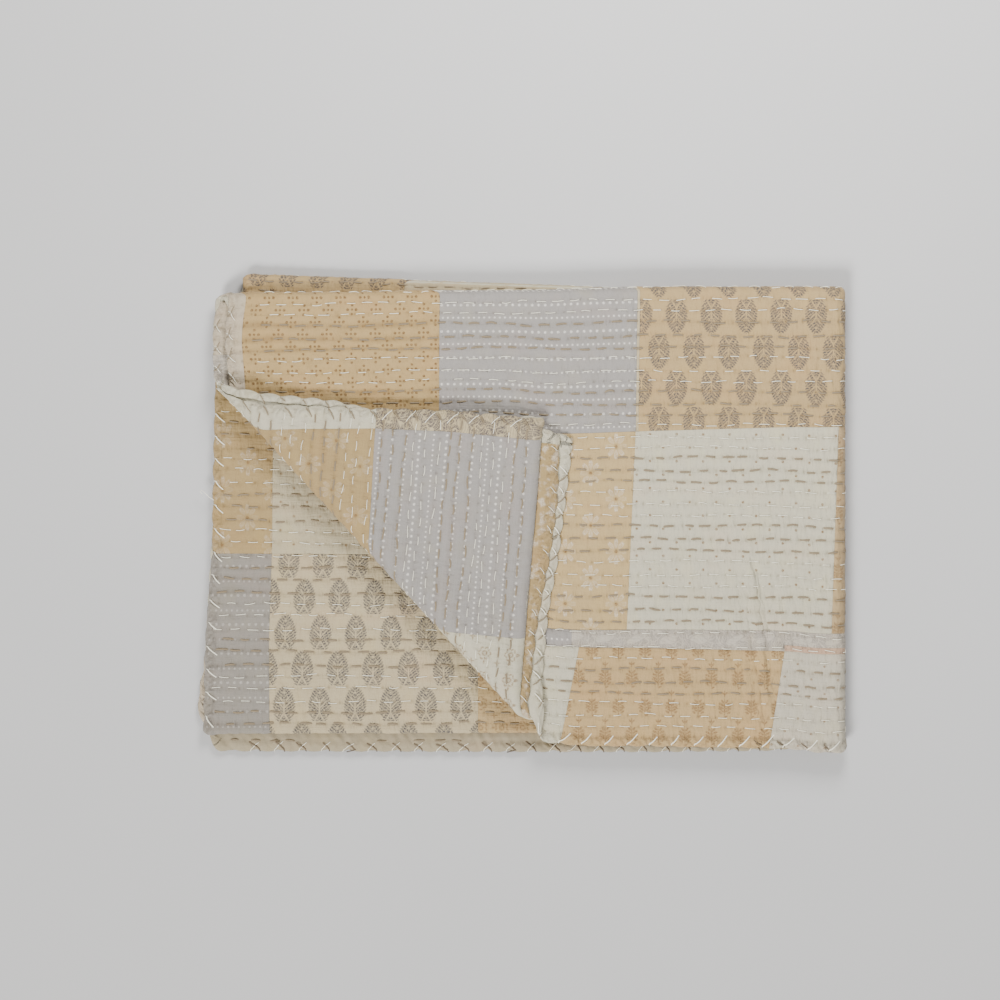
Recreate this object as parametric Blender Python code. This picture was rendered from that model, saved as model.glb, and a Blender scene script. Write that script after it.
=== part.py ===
"""A folded kantha quilt: one stitched cotton sheet, folded into eight layers.

The sheet is folded in half lengthwise twice and then in half across, so that its eight layers end in one
fold on the right. The near left corner of the four upper layers is turned up over the top. Metres, +Z up.
Until it is centred on its base, the quilt is drawn from the axis of the right-hand fold (x = 0) and from
the line of the far folds (y = 0): its layers run to -x, and its near folds and hems lie at -y.
"""
import math
from collections import namedtuple

import bmesh
import bpy
import numpy as np

# The cloth
SHEET = 0.0024                  # thickness of the stitched cloths
PITCH = 0.0030                  # height of one layer, with the air above it
QUILT_COLOR = (0.62, 0.53, 0.41, 1.0)
QUILT_ROUGHNESS = 0.92

# The sheet runs to and fro in four quarters. These are their heights above the innermost one, from the
# quarter at the first hem to the quarter at the last hem. The lower layers mirror the upper ones.
QUARTER_LEVELS = (2 * PITCH, 1 * PITCH, 0.0, 3 * PITCH)
TOP_LEVEL = 3 * PITCH
CORE_RADIUS = PITCH / 2         # radius of the innermost layer in the right-hand fold
AXIS_HEIGHT = CORE_RADIUS + TOP_LEVEL + SHEET / 2

# The lines of the folded quilt, seen from above, at stations along it. run is the distance from the
# right-hand fold, and the other columns are the distances of the lines from y = 0 towards -y.
RUN, FAR_FOLD, NEAR_FOLD, FIRST_HEM, LAST_HEM = range(5)
UPPER_LINES = np.array((
    (0.000,  0.0000,  0.4430,  0.4470,  0.4610),
    (0.200,  0.0000,  0.4380,  0.4400,  0.4570),
    (0.245,  0.0005,  0.4360,  0.4375,  0.4560),
    (0.290,  0.0010,  0.4335,  0.4345,  0.4520),
    (0.330,  0.0010,  0.4315,  0.4325,  0.4405),
    (0.430,  0.0020,  0.4312,  0.4340,  0.4380),
    (0.530,  0.0030,  0.4312,  0.4410,  0.4475),
    (0.590,  0.0030,  0.4310,  0.4405,  0.4500),
    (0.620,  0.0060,  0.4310,  0.4405,  0.4500),
))
LOWER_LINES = np.array((
    (0.000,  0.0000,  0.4430,  0.4470,  0.4610),
    (0.030,  0.0000,  0.4435,  0.4620,  0.4630),
    (0.170, -0.0005,  0.4450,  0.4635,  0.4640),
    (0.590, -0.0160,  0.4455,  0.4620,  0.4640),
    (0.645, -0.0170,  0.4455,  0.4620,  0.4640),
))

# The two ends of the sheet. across is the place across it, in quarters, from the first hem (0) to the
# last (4), and the other columns are the sheet's lengths from the right-hand fold to each end.
ACROSS, UPPER_END, LOWER_END = range(3)
END_LINES = np.array((
    (0.00,  0.6120,  0.6360),
    (0.50,  0.6200,  0.6340),
    (0.95,  0.6250,  0.6120),
    (1.00,  0.6250,  0.5980),
    (1.05,  0.6250,  0.6120),
    (1.50,  0.6250,  0.6300),
    (1.85,  0.6270,  0.6440),
    (2.00,  0.6275,  0.6365),
    (2.20,  0.6265,  0.6347),
    (2.40,  0.6225,  0.6277),
    (2.55,  0.6195,  0.6270),
    (2.65,  0.6165,  0.6260),
    (2.78,  0.6245,  0.6245),
    (2.90,  0.6260,  0.6170),
    (2.96,  0.6260,  0.5970),
    (3.00,  0.6230,  0.5955),
    (3.05,  0.6270,  0.6050),
    (3.10,  0.6280,  0.6220),
    (3.25,  0.6215,  0.6340),
    (3.55,  0.6177,  0.6370),
    (3.90,  0.6090,  0.6385),
    (4.00,  0.6060,  0.6390),
))
CORNER_RADIUS = 0.012           # the sheet's own corners, at the ends of its two hems

# The turned corner: the ends of its fold, on the left hems and on the near hems, seen from above
TURN_LEFT = np.array((-0.6223, -0.0950))
TURN_NEAR = np.array((-0.2873, -0.4600))
TURN_CORE = 0.0025              # radius left free inside its fold
TURN_SETTLE = 0.045             # past the fold, the turned layers come down to the top one over this

# Resolution: shares of a layer's length and of a quarter's width, and steps round the folds
RUN_SHARES = (0.12, 0.25, 0.38, 0.48, 0.58, 0.68, 0.78, 0.88, 0.95, 0.98, 0.99, 0.9974, 1.0)
INNER_SHARES = (0.0, 0.15, 0.4, 0.7, 0.9, 1.0)
OUTER_SHARES = (0.0, 0.1, 0.2, 0.35, 0.5, 0.62, 0.74, 0.84, 0.91, 0.96, 1.0)
INNER_FOLD_STEPS = 4
OUTER_FOLD_STEPS = 6
TURN_STEPS = 4
TOLERANCE = 1e-6
SHARP_ANGLE = math.radians(40)

Row = namedtuple("Row", "kind index value")        # a share of a quarter, or an angle round a fold
Column = namedtuple("Column", "kind value")        # a share of a layer, or an angle round the right fold


def sheet_rows():
    """List the rows of the sheet from its first hem to its last."""
    rows = []
    for quarter in range(4):
        shares = INNER_SHARES if quarter < 2 else OUTER_SHARES
        if quarter == 3:
            shares = [1.0 - share for share in reversed(shares)]
        rows += [Row("quarter", quarter, share) for share in shares]
        if quarter < 3:
            steps = OUTER_FOLD_STEPS if quarter == 2 else INNER_FOLD_STEPS
            rows += [Row("fold", quarter + 1, math.pi * k / steps) for k in range(1, steps)]
    return rows


def sheet_columns():
    """List the columns of the sheet from its upper end, round the right-hand fold, to its lower end."""
    upper = [Column("upper", share) for share in reversed(RUN_SHARES)]
    bend = [Column("bend", math.pi * (0.5 - k / OUTER_FOLD_STEPS)) for k in range(OUTER_FOLD_STEPS + 1)]
    lower = [Column("lower", share) for share in RUN_SHARES]
    return upper + bend + lower


def middle_height(row):
    """Height of the sheet's middle surface above the innermost layer, at a row."""
    if row.kind == "quarter":
        return QUARTER_LEVELS[row.index]
    before, after = QUARTER_LEVELS[row.index - 1], QUARTER_LEVELS[row.index]
    return (before + after) / 2 + (before - after) / 2 * math.cos(row.value)


def line_at(lines, run, column):
    """Distance of one line from y = 0, at a distance along the quilt."""
    return float(np.interp(run, lines[:, RUN], lines[:, column]))


def hem_at(lines, run, end, column):
    """Distance of a hem from y = 0, drawn in on a quarter circle at the sheet's corner."""
    into_corner = min(max(run - (end - CORNER_RADIUS), 0.0), CORNER_RADIUS)
    drawn_in = CORNER_RADIUS - math.sqrt(CORNER_RADIUS ** 2 - into_corner ** 2)
    return line_at(lines, run, column) - drawn_in


def section_point(row, lines, run, end, offset):
    """Find y and the height of a row of the folded section, offset from the sheet's middle surface.

    A positive offset is the patchwork face. It looks up on the second and fourth quarters, so it lies
    outside the near fold and the last far fold, and inside the first far fold.
    """
    far_axis = -line_at(lines, run, FAR_FOLD) - TOP_LEVEL / 2 - SHEET / 2
    near_axis = -line_at(lines, run, NEAR_FOLD) + PITCH / 2 + SHEET / 2
    first_hem = -hem_at(lines, run, end, FIRST_HEM)
    last_hem = -hem_at(lines, run, end, LAST_HEM)
    turns = (first_hem, far_axis, near_axis, far_axis, last_hem)
    if row.kind == "quarter":
        start, stop = turns[row.index], turns[row.index + 1]
        facing = 1.0 if row.index in (1, 3) else -1.0
        return start + row.value * (stop - start), QUARTER_LEVELS[row.index] + facing * offset
    before, after = QUARTER_LEVELS[row.index - 1], QUARTER_LEVELS[row.index]
    to_far = 1.0 if row.index in (1, 3) else -1.0
    rising = 1.0 if after > before else -1.0
    radius = abs(after - before) / 2 + rising * to_far * offset
    y = turns[row.index] + to_far * radius * math.sin(row.value)
    return y, (before + after) / 2 - rising * radius * math.cos(row.value)


def sheet_point(row, column, offset):
    """Place a point of the sheet, folded to and fro and then in half round the right-hand fold."""
    if column.kind == "bend":
        y, height = section_point(row, UPPER_LINES, 0.0, 1.0, offset)
        radius = CORE_RADIUS + height
        return radius * math.cos(column.value), y, AXIS_HEIGHT + radius * math.sin(column.value)
    upper = column.kind == "upper"
    across = row.index + (row.value if row.kind == "quarter" else 0.0)
    length = float(np.interp(across, END_LINES[:, ACROSS], END_LINES[:, UPPER_END if upper else LOWER_END]))
    end = length - math.pi / 2 * (CORE_RADIUS + middle_height(row))
    run = column.value * end
    y, height = section_point(row, UPPER_LINES if upper else LOWER_LINES, run, end, offset)
    side = 1.0 if upper else -1.0
    return -run, y, AXIS_HEIGHT + side * (CORE_RADIUS + height)


def folded_sheet():
    """Build the closed sheet, folded into its eight layers, with the corner not yet turned.

    Each vertex keeps the height of the sheet's middle surface there, and each face that of its strip.
    """
    sheet = bmesh.new()
    vert_middle = sheet.verts.layers.float.new("middle")
    face_middle = sheet.faces.layers.float.new("middle")
    rows, columns = sheet_rows(), sheet_columns()
    middles = [middle_height(row) for row in rows]

    def surface(offset):
        grid = []
        for row, middle in zip(rows, middles):
            line = [sheet.verts.new(sheet_point(row, column, offset)) for column in columns]
            for vert in line:
                vert[vert_middle] = middle
            grid.append(line)
        return grid

    def add_face(corners, middle):
        sheet.faces.new(corners)[face_middle] = middle

    face, back = surface(SHEET / 2), surface(-SHEET / 2)
    last_row, last_column = len(rows) - 1, len(columns) - 1
    for i in range(last_row):
        strip = (middles[i] + middles[i + 1]) / 2
        for grid in (face, back):
            for j in range(last_column):
                add_face((grid[i][j], grid[i][j + 1], grid[i + 1][j + 1], grid[i + 1][j]), strip)
        for j in (0, last_column):
            add_face((face[i][j], face[i + 1][j], back[i + 1][j], back[i][j]), strip)
    for i in (0, last_row):
        for j in range(last_column):
            add_face((face[i][j], face[i][j + 1], back[i][j + 1], back[i][j]), middles[i])
    bmesh.ops.recalc_face_normals(sheet, faces=sheet.faces[:])
    return sheet


def turn_frame():
    """Work out the turned corner's fold: a point on its axis, its directions and its height."""
    along = (TURN_NEAR - TURN_LEFT) / np.linalg.norm(TURN_NEAR - TURN_LEFT)
    outward = np.array((along[1], -along[0]))
    outer_radius = TURN_CORE + TOP_LEVEL + SHEET
    height = AXIS_HEIGHT + CORE_RADIUS + TOP_LEVEL + SHEET / 2 + TURN_CORE
    return TURN_LEFT - outward * outer_radius, along, outward, height


def cut_turn_lines(sheet):
    """Cut each upper layer along its own lines of the corner's fold, so that it can bend there."""
    axis, _, outward, height = turn_frame()
    face_middle = sheet.faces.layers.float["middle"]
    for strip in sorted({round(face[face_middle], 7) for face in sheet.faces}):
        arc = math.pi * (height - (AXIS_HEIGHT + CORE_RADIUS + strip))
        reaches = [arc * k / TURN_STEPS for k in range(TURN_STEPS + 1)] + [arc + TURN_SETTLE]
        for reach in reaches:
            faces = [face for face in sheet.faces if abs(face[face_middle] - strip) < TOLERANCE
                     and face.calc_center_median().z > AXIS_HEIGHT]
            edges = {edge for face in faces for edge in face.edges}
            verts = {vert for face in faces for vert in face.verts}
            bmesh.ops.bisect_plane(sheet, geom=faces + list(edges) + list(verts), dist=TOLERANCE,
                                   plane_co=(*(axis + outward * reach), 0.0),
                                   plane_no=(*outward, 0.0))


def turn_corner(sheet):
    """Wrap the upper layers' near left corner round its fold and lay it down on the top layer."""
    axis, along, outward, height = turn_frame()
    vert_middle = sheet.verts.layers.float["middle"]
    drop = 2 * TURN_CORE - (PITCH - SHEET)
    for vert in sheet.verts:
        plan = np.array(vert.co.xy) - axis
        reach = float(plan @ outward)
        if reach < TOLERANCE / 10 or vert.co.z < AXIS_HEIGHT:
            continue
        middle_radius = height - (AXIS_HEIGHT + CORE_RADIUS + vert[vert_middle])
        radius = height - vert.co.z
        angle = min(reach / middle_radius, math.pi)
        beyond = reach - middle_radius * angle
        place = axis + along * float(plan @ along) + outward * (radius * math.sin(angle) - beyond)
        settled = drop * min(beyond / TURN_SETTLE, 1.0)
        vert.co = (*place, height - radius * math.cos(angle) - settled)


def centre_on_base(sheet):
    """Move the sheet so that the middle of its box's base is at the origin."""
    points = np.array([vert.co[:] for vert in sheet.verts])
    low, high = points.min(axis=0), points.max(axis=0)
    centre = (low + high) / 2
    bmesh.ops.translate(sheet, verts=sheet.verts[:], vec=(-centre[0], -centre[1], -low[2]))


def cloth_material():
    """Make the quilt's plain base material."""
    material = bpy.data.materials.new("quilt_cotton")
    material.use_nodes = True
    shader = material.node_tree.nodes["Principled BSDF"]
    shader.inputs["Base Color"].default_value = QUILT_COLOR
    shader.inputs["Roughness"].default_value = QUILT_ROUGHNESS
    shader.inputs["Metallic"].default_value = 0.0
    return material


def build_quilt():
    """Build the folded quilt as one closed solid."""
    sheet = folded_sheet()
    cut_turn_lines(sheet)
    turn_corner(sheet)
    centre_on_base(sheet)
    bmesh.ops.triangulate(sheet, faces=sheet.faces[:])
    mesh = bpy.data.meshes.new("quilt")
    sheet.to_mesh(mesh)
    sheet.free()
    mesh.materials.append(cloth_material())
    mesh.shade_smooth()
    mesh.set_sharp_from_angle(angle=SHARP_ANGLE)
    quilt = bpy.data.objects.new("quilt", mesh)
    bpy.context.scene.collection.objects.link(quilt)


def main():
    for old in list(bpy.data.objects):
        bpy.data.objects.remove(old)
    build_quilt()


main()
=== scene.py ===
"""A kantha quilt, folded into eight layers, with one corner of its upper layers turned up over the top.

Printed cotton patches are joined over a plain cotton back and quilted with rows of running stitches.
Lengths are in metres and +Z is up. A place on the cloth itself is (u, v): u is the distance along it from
its middle, where it is folded in half, and v the distance across it from its first hem.
"""
import math

import bpy
import numpy as np
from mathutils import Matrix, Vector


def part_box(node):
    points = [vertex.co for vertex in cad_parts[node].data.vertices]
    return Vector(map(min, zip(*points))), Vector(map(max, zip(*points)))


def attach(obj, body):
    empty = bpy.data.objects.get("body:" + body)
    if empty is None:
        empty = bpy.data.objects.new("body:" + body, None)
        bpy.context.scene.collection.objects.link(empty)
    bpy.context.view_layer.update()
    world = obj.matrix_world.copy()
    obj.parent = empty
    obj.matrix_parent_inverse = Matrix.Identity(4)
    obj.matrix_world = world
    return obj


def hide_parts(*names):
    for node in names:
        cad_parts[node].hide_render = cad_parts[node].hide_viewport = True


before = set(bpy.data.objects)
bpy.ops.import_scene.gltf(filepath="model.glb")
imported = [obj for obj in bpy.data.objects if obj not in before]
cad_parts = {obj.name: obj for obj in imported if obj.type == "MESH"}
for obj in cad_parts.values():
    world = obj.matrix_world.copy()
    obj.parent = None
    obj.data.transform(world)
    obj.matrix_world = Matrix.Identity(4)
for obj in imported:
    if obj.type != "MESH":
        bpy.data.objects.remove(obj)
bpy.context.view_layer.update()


# ======================================================================================================
# The quilt's back
# One plain cotton cloth, layered under the patchwork and folded with it: in half lengthwise twice, and
# then in half across. It shows along the hems and inside the corner that is turned up.
# ======================================================================================================
MM = 1000                                   # millimetres in a metre
SHEET = 0.0024                              # thickness of the stitched cloths
PITCH = 0.0030                              # height of one layer, with the air above it
QUARTER_LEVELS = (2 * PITCH, PITCH, 0.0, 3 * PITCH)
TOP_LEVEL = 3 * PITCH
CORE_RADIUS = PITCH / 2                     # of the innermost layer's middle, round the right-hand fold
AXIS_HEIGHT = CORE_RADIUS + TOP_LEVEL + SHEET / 2

HALF_LENGTH = 0.630
QUARTER_WIDTHS = (0.4410, 0.4350, 0.4350, 0.4580)
FOLD_WIDTHS = (math.pi * PITCH / 2, math.pi * PITCH / 2, math.pi * PITCH * 1.5)
QUARTER_STARTS = tuple(sum(QUARTER_WIDTHS[:k]) + sum(FOLD_WIDTHS[:k]) for k in range(4))
CLOTH_WIDTH = QUARTER_STARTS[3] + QUARTER_WIDTHS[3]

# Lines of the folded quilt, seen from above: the distance from the right-hand fold, and the distances
# of the far folds, the near folds, the first hem and the last hem from the line of the far folds
UPPER_LINES = np.array((
    (0.000, -0.0025, 0.4430, 0.4470, 0.4660), (0.022, -0.0025, 0.4425, 0.4463, 0.4658),
    (0.040, -0.0025, 0.4420, 0.4456, 0.4618), (0.200, -0.0025, 0.4380, 0.4400, 0.4592),
    (0.245, -0.0010, 0.4360, 0.4375, 0.4592), (0.290, 0.0010, 0.4335, 0.4345, 0.4562),
    (0.330, 0.0010, 0.4315, 0.4325, 0.4380), (0.410, 0.0015, 0.4313, 0.4350, 0.4385),
    (0.467, 0.0024, 0.4312, 0.4413, 0.4441), (0.525, 0.0030, 0.4312, 0.4448, 0.4462),
    (0.590, 0.0030, 0.4310, 0.4415, 0.4490), (0.620, 0.0060, 0.4310, 0.4405, 0.4490)))
LOWER_LINES = np.array((
    (0.000, 0.0000, 0.4430, 0.4470, 0.4610), (0.022, 0.0000, 0.4433, 0.4480, 0.4607),
    (0.042, 0.0000, 0.4437, 0.4645, 0.4605), (0.170, -0.0005, 0.4458, 0.4663, 0.4600),
    (0.590, -0.0160, 0.4470, 0.4655, 0.4590), (0.645, -0.0170, 0.4470, 0.4650, 0.4590)))
NEAR_REACH = 0.4640                         # from the line of the far folds to the quilt's near side
# The sheet's ends: the place across it in quarters, and its upper and lower lengths there
END_LINES = np.array((
    (0.00, 0.6120, 0.6400), (0.035, 0.6125, 0.6390), (0.052, 0.6125, 0.6530), (0.12, 0.6135, 0.6503),
    (0.15, 0.6140, 0.6470), (0.20, 0.6150, 0.6445), (0.24, 0.6160, 0.6420), (0.28, 0.6160, 0.6375),
    (0.50, 0.6165, 0.6320), (0.80, 0.6170, 0.6200), (0.95, 0.6175, 0.6120), (1.00, 0.6240, 0.5980),
    (1.05, 0.6310, 0.6120), (1.22, 0.6310, 0.6190), (1.33, 0.6260, 0.6220), (1.50, 0.6250, 0.6300),
    (1.60, 0.6185, 0.6340), (1.85, 0.6230, 0.6400), (2.00, 0.6265, 0.6365), (2.20, 0.6272, 0.6347),
    (2.40, 0.6225, 0.6277), (2.55, 0.6195, 0.6270), (2.65, 0.6165, 0.6260), (2.78, 0.6245, 0.6245),
    (2.90, 0.6260, 0.6170), (2.96, 0.6260, 0.5970), (3.00, 0.6230, 0.5955), (3.05, 0.6270, 0.6050),
    (3.10, 0.6280, 0.6220), (3.25, 0.6215, 0.6340), (3.55, 0.6150, 0.6370), (3.90, 0.6090, 0.6385),
    (4.00, 0.6060, 0.6390)))
LINE_SOFTNESS, END_SOFTNESS = 0.012, 0.020  # how far the corners of the lines above are rounded off
LINE_SAMPLES = 400
CORNER_RADIUS = 0.012                       # of the cloth's own corners
END_ZONE = 0.40                             # past this length the cloth eases in or out to its ends

# The turned corner: two places on its fold line, and the radius of the air inside its fold
TURN_LEFT = np.array((-0.6223, -0.0950))
TURN_NEAR = np.array((-0.2873, -0.4600))
TURN_CORE = 0.0025
TURN_SETTLE = 0.045                         # how far past the fold it has settled on the quilt
SLIP = 0.010                                # how far the last quarter slips back, by the fold's near end
SLIP_START, SLIP_ZONE = 0.455, 0.040
LAST_QUARTER = 6                            # its number among the parts: even for quarters, odd for folds


def softened(table, spread):
    """Round off the corners of a table's lines, over a distance of about spread."""
    fine = np.linspace(table[0, 0], table[-1, 0], LINE_SAMPLES)
    steps = np.linspace(-2, 2, 17)
    weights = np.exp(-steps ** 2) / np.exp(-steps ** 2).sum()
    columns = [sum(weight * np.interp(fine + step * spread, table[:, 0], table[:, k])
                   for weight, step in zip(weights, steps)) for k in range(1, table.shape[1])]
    return fine, columns


UPPER_SOFT = softened(UPPER_LINES, LINE_SOFTNESS)
LOWER_SOFT = softened(LOWER_LINES, LINE_SOFTNESS)
END_SOFT = softened(END_LINES, END_SOFTNESS)


def smooth_step(x):
    """Rise smoothly from 0 to 1 as x does."""
    x = np.clip(x, 0.0, 1.0)
    return x * x * (3 - 2 * x)


HEM_PITCH = 0.0225                          # the hems are drawn in by a whip stitch at each of these
HEM_WIDTH = 0.011
NIP = 0.0030                                # how far a whip stitch draws the edge in
PLUMP = 0.0016                              # how much a hem bulges on each face between its stitches


def lobe(along):
    """How far the hem bulges between its whip stitches: 0 at a stitch, 1 halfway to the next."""
    return np.abs(np.sin(math.pi * along / HEM_PITCH)) ** 0.7


def scalloped(u, v):
    """Draw the cloth's edges in at the whip stitches."""
    at_end = NIP * (1 - lobe(v)) * smooth_step(1 - (HALF_LENGTH - np.abs(u)) / HEM_WIDTH)
    at_hem = NIP * (1 - lobe(u))
    first, last = smooth_step(1 - v / HEM_WIDTH), smooth_step(1 - (CLOTH_WIDTH - v) / HEM_WIDTH)
    return u - np.sign(u) * at_end, v + at_hem * (first - last)


def parts_across(v):
    """The quarter or fold at each place across, how far through it, its level, and the place in quarters."""
    part, share = np.zeros(v.shape, int), np.zeros(v.shape)
    middle, across = np.zeros(v.shape), np.zeros(v.shape)
    for k in range(4):
        start, width = QUARTER_STARTS[k], QUARTER_WIDTHS[k]
        here = v >= start - 1e-9
        part[here] = 2 * k
        share[here] = (v[here] - start) / width
        middle[here] = QUARTER_LEVELS[k]
        across[here] = k + np.clip(share[here], 0, 1)
        if k < 3:
            here = v > start + width
            part[here] = 2 * k + 1
            share[here] = math.pi * (v[here] - start - width) / FOLD_WIDTHS[k]
            before, after = QUARTER_LEVELS[k], QUARTER_LEVELS[k + 1]
            middle[here] = (before + after) / 2 + (before - after) / 2 * np.cos(share[here])
            across[here] = k + 1.0
    return part, share, middle, across


def lines_at(run, upper):
    """The far folds, the near folds and the two hems, at a distance from the right-hand fold."""
    return [np.where(upper, np.interp(run, UPPER_SOFT[0], high), np.interp(run, LOWER_SOFT[0], low))
            for high, low in zip(UPPER_SOFT[1], LOWER_SOFT[1])]


def folded_across(part, share, w, turns):
    """Run the cloth to and fro through its quarters, from one of the turns to the next."""
    y, height = np.zeros(part.shape), np.zeros(part.shape)
    for k in range(4):
        here = part == 2 * k
        facing = 1.0 if k in (1, 3) else -1.0
        y[here] = (turns[k] + share * (turns[k + 1] - turns[k]))[here]
        height[here] = QUARTER_LEVELS[k] + facing * w[here]
        if k < 3:
            here = part == 2 * k + 1
            before, after = QUARTER_LEVELS[k], QUARTER_LEVELS[k + 1]
            to_far = 1.0 if k in (0, 2) else -1.0
            rising = 1.0 if after > before else -1.0
            radius = abs(after - before) / 2 + rising * to_far * w[here]
            y[here] = turns[k + 1][here] + to_far * radius * np.sin(share[here])
            height[here] = (before + after) / 2 - rising * radius * np.cos(share[here])
    return y, height


def turn_frame():
    """Directions along and across the turned corner's fold, a point on its axis, and its height."""
    along = (TURN_NEAR - TURN_LEFT) / np.linalg.norm(TURN_NEAR - TURN_LEFT)
    outward = np.array((along[1], -along[0]))
    axis = TURN_LEFT - outward * (TURN_CORE + TOP_LEVEL + SHEET)
    return along, outward, axis, AXIS_HEIGHT + CORE_RADIUS + TOP_LEVEL + SHEET / 2 + TURN_CORE


def turned_up(x, y, z, upper, part, middle):
    """Turn the upper layers' near left corner up over the top, in a soft roll along its fold line."""
    along, outward, axis, turn_height = turn_frame()
    distance = (x - axis[0]) * along[0] + (y - axis[1]) * along[1]
    slip = SLIP * smooth_step((distance - SLIP_START) / SLIP_ZONE) * (part == LAST_QUARTER)
    reach = (x - axis[0]) * outward[0] + (y - axis[1]) * outward[1] - slip
    turned = upper & (reach > 0)
    middle_radius = turn_height - (AXIS_HEIGHT + CORE_RADIUS + middle)
    radius = turn_height - z
    wrapped = np.clip(reach / middle_radius, 0.0, math.pi)
    beyond = np.maximum(reach - middle_radius * wrapped, 0.0)
    sideways = radius * np.sin(wrapped) - beyond + slip
    drop = (2 * TURN_CORE - (PITCH - SHEET)) * smooth_step(beyond / TURN_SETTLE)
    x = np.where(turned, axis[0] + along[0] * distance + outward[0] * sideways, x)
    y = np.where(turned, axis[1] + along[1] * distance + outward[1] * sideways, y)
    return x, y, np.where(turned, turn_height - radius * np.cos(wrapped) - drop, z)


def place(u, v, w):
    """Find where the folded cloth's points are; w is their height towards the patchwork.

    The underside is pressed flat on the floor.
    """
    u, v, w = (np.array(values, float) for values in np.broadcast_arrays(u, v, w))
    u, v = scalloped(u, v)
    upper = u >= 0
    part, share, middle, across = parts_across(v)

    # Along the cloth: round the right-hand fold, and then straight to its end
    fine, (upper_end, lower_end) = END_SOFT
    length = np.where(upper, np.interp(across, fine, upper_end), np.interp(across, fine, lower_end))
    gone = np.abs(u)
    eased = END_ZONE + (gone - END_ZONE) * (length - END_ZONE) / (HALF_LENGTH - END_ZONE)
    gone = np.where(gone > END_ZONE, eased, gone)
    bend = CORE_RADIUS + middle
    angle = np.minimum(gone / bend, math.pi / 2)
    run = np.maximum(gone - bend * math.pi / 2, 0.0)
    end = length - bend * math.pi / 2

    # Across it: from its first hem to its last, with its corners rounded
    far_folds, near_folds, first_hem, last_hem = lines_at(run, upper)
    into = np.clip(run - (end - CORNER_RADIUS), 0.0, CORNER_RADIUS)
    drawn_in = CORNER_RADIUS - np.sqrt(CORNER_RADIUS ** 2 - into ** 2)
    far_axis = -far_folds - TOP_LEVEL / 2 - SHEET / 2
    near_axis = -near_folds + PITCH / 2 + SHEET / 2
    turns = (drawn_in - first_hem, far_axis, near_axis, far_axis, drawn_in - last_hem)
    y, height = folded_across(part, share, w, turns)
    side = np.where(upper, 1.0, -1.0)
    x = (CORE_RADIUS + height) * np.cos(angle) - run
    z = AXIS_HEIGHT + side * (CORE_RADIUS + height) * np.sin(angle)

    x, y, z = turned_up(x, y, z, upper, part, middle)
    low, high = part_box("quilt")
    return np.stack((x + high[0] - (CORE_RADIUS + TOP_LEVEL + SHEET / 2),
                     y + low[1] + NEAR_REACH, np.maximum(z, 0.0)), axis=-1)


# Rows of running stitches, along the cloth
ROW_PITCH = 0.01158
FIRST_ROW = 1.3313                          # the first row on the top quarter
STITCH_PITCH = 0.0176
STITCH = 0.0100                             # length of a stitch on the patchwork
GOLDEN = 0.618034                           # each row starts this share of a stitch further on
# How far the rows drift together, in millimetres, at some of them
DRIFT_ROWS = (-40, -30, -19, -8, -1, 0, 1.4, 3, 4.5, 8, 12, 16, 22, 25, 29, 31, 34, 38)
DRIFT_MM = (0.0, 1.1, 1.8, 1.1, 0.1, -0.8, -2.7, -0.3, 0.8, 0.5, -1.5, -3.4, -4.2, -2.4, -1.5, 1.0, 1.6, 0.3)
GROUP_STRAY, GROUP_PHASE = 0.0012, 1.23     # how far the rows of one colour draw together
LONG_STRAY, SHORT_STRAY = 0.0009, 0.0005    # how far a row waves along its length


def row_wander(row, u):
    """How far a hand-sewn row strays from its even place."""
    drift = np.interp(row, DRIFT_ROWS, DRIFT_MM) / MM
    return (drift + GROUP_STRAY * np.sin(2 * math.pi * row / 3 - GROUP_PHASE)
            + LONG_STRAY * np.sin(33 * u + 1.3 * row) + SHORT_STRAY * np.sin(103 * u + 2.1 * row))


def row_number(u, v):
    """The number of the stitch row at a place on the cloth: whole on a row, halves between two."""
    row = (v - FIRST_ROW) / ROW_PITCH
    for _ in range(6):
        row = (v - FIRST_ROW - row_wander(row, u)) / ROW_PITCH
    return row


def waves(count, across_u, across_v, seed):
    """Draw random plane waves, with their lengths along u and v in the given ranges."""
    draw = np.random.default_rng(seed)
    ku = 2 * math.pi / draw.uniform(*across_u, count) * draw.choice((-1, 1), count)
    kv = 2 * math.pi / draw.uniform(*across_v, count)
    return list(zip(ku, kv, draw.uniform(0, 2 * math.pi, count)))


def summed(plane_waves, u, v):
    """Add plane waves up at a place on the cloth."""
    return sum(np.sin(ku * u + kv * v + phase) for ku, kv, phase in plane_waves)


PUCKERS = waves(22, (0.008, 0.017), (0.014, 0.05), 11)
SWELLS = waves(14, (0.05, 0.16), (0.04, 0.14), 12)
RIDGE, PUCKER, SWELL = 0.00060, 0.000060, 0.00005   # heights of a ridge between rows, and of one wave each
GATHER = 0.00042                            # height of the pleats at the hems
GATHER_MIDDLE, GATHER_SPREAD = 0.009, 0.008
# Soft creases pressed in by folding: from, to, width and height
CREASES = (
    ((0.116, 1.600), (0.086, 1.786), 0.0034, -0.0018), ((0.106, 1.590), (0.079, 1.780), 0.0038, 0.0013),
    ((0.098, 1.585), (0.073, 1.755), 0.0030, -0.0015), ((0.552, 0.895), (0.548, 1.050), 0.0060, 0.0006),
    ((0.528, 0.900), (0.524, 1.060), 0.0050, -0.0005), ((0.505, 0.890), (0.508, 1.040), 0.0060, 0.0005))


def hem_distance(u, v):
    """Distance from a place on the cloth to its nearest edge."""
    return np.minimum(HALF_LENGTH - np.abs(u), np.minimum(v, CLOTH_WIDTH - v))


def along_hem(u, v):
    """Distance along the nearest edge."""
    return np.where(HALF_LENGTH - np.abs(u) < np.minimum(v, CLOTH_WIDTH - v), v, u)


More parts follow.
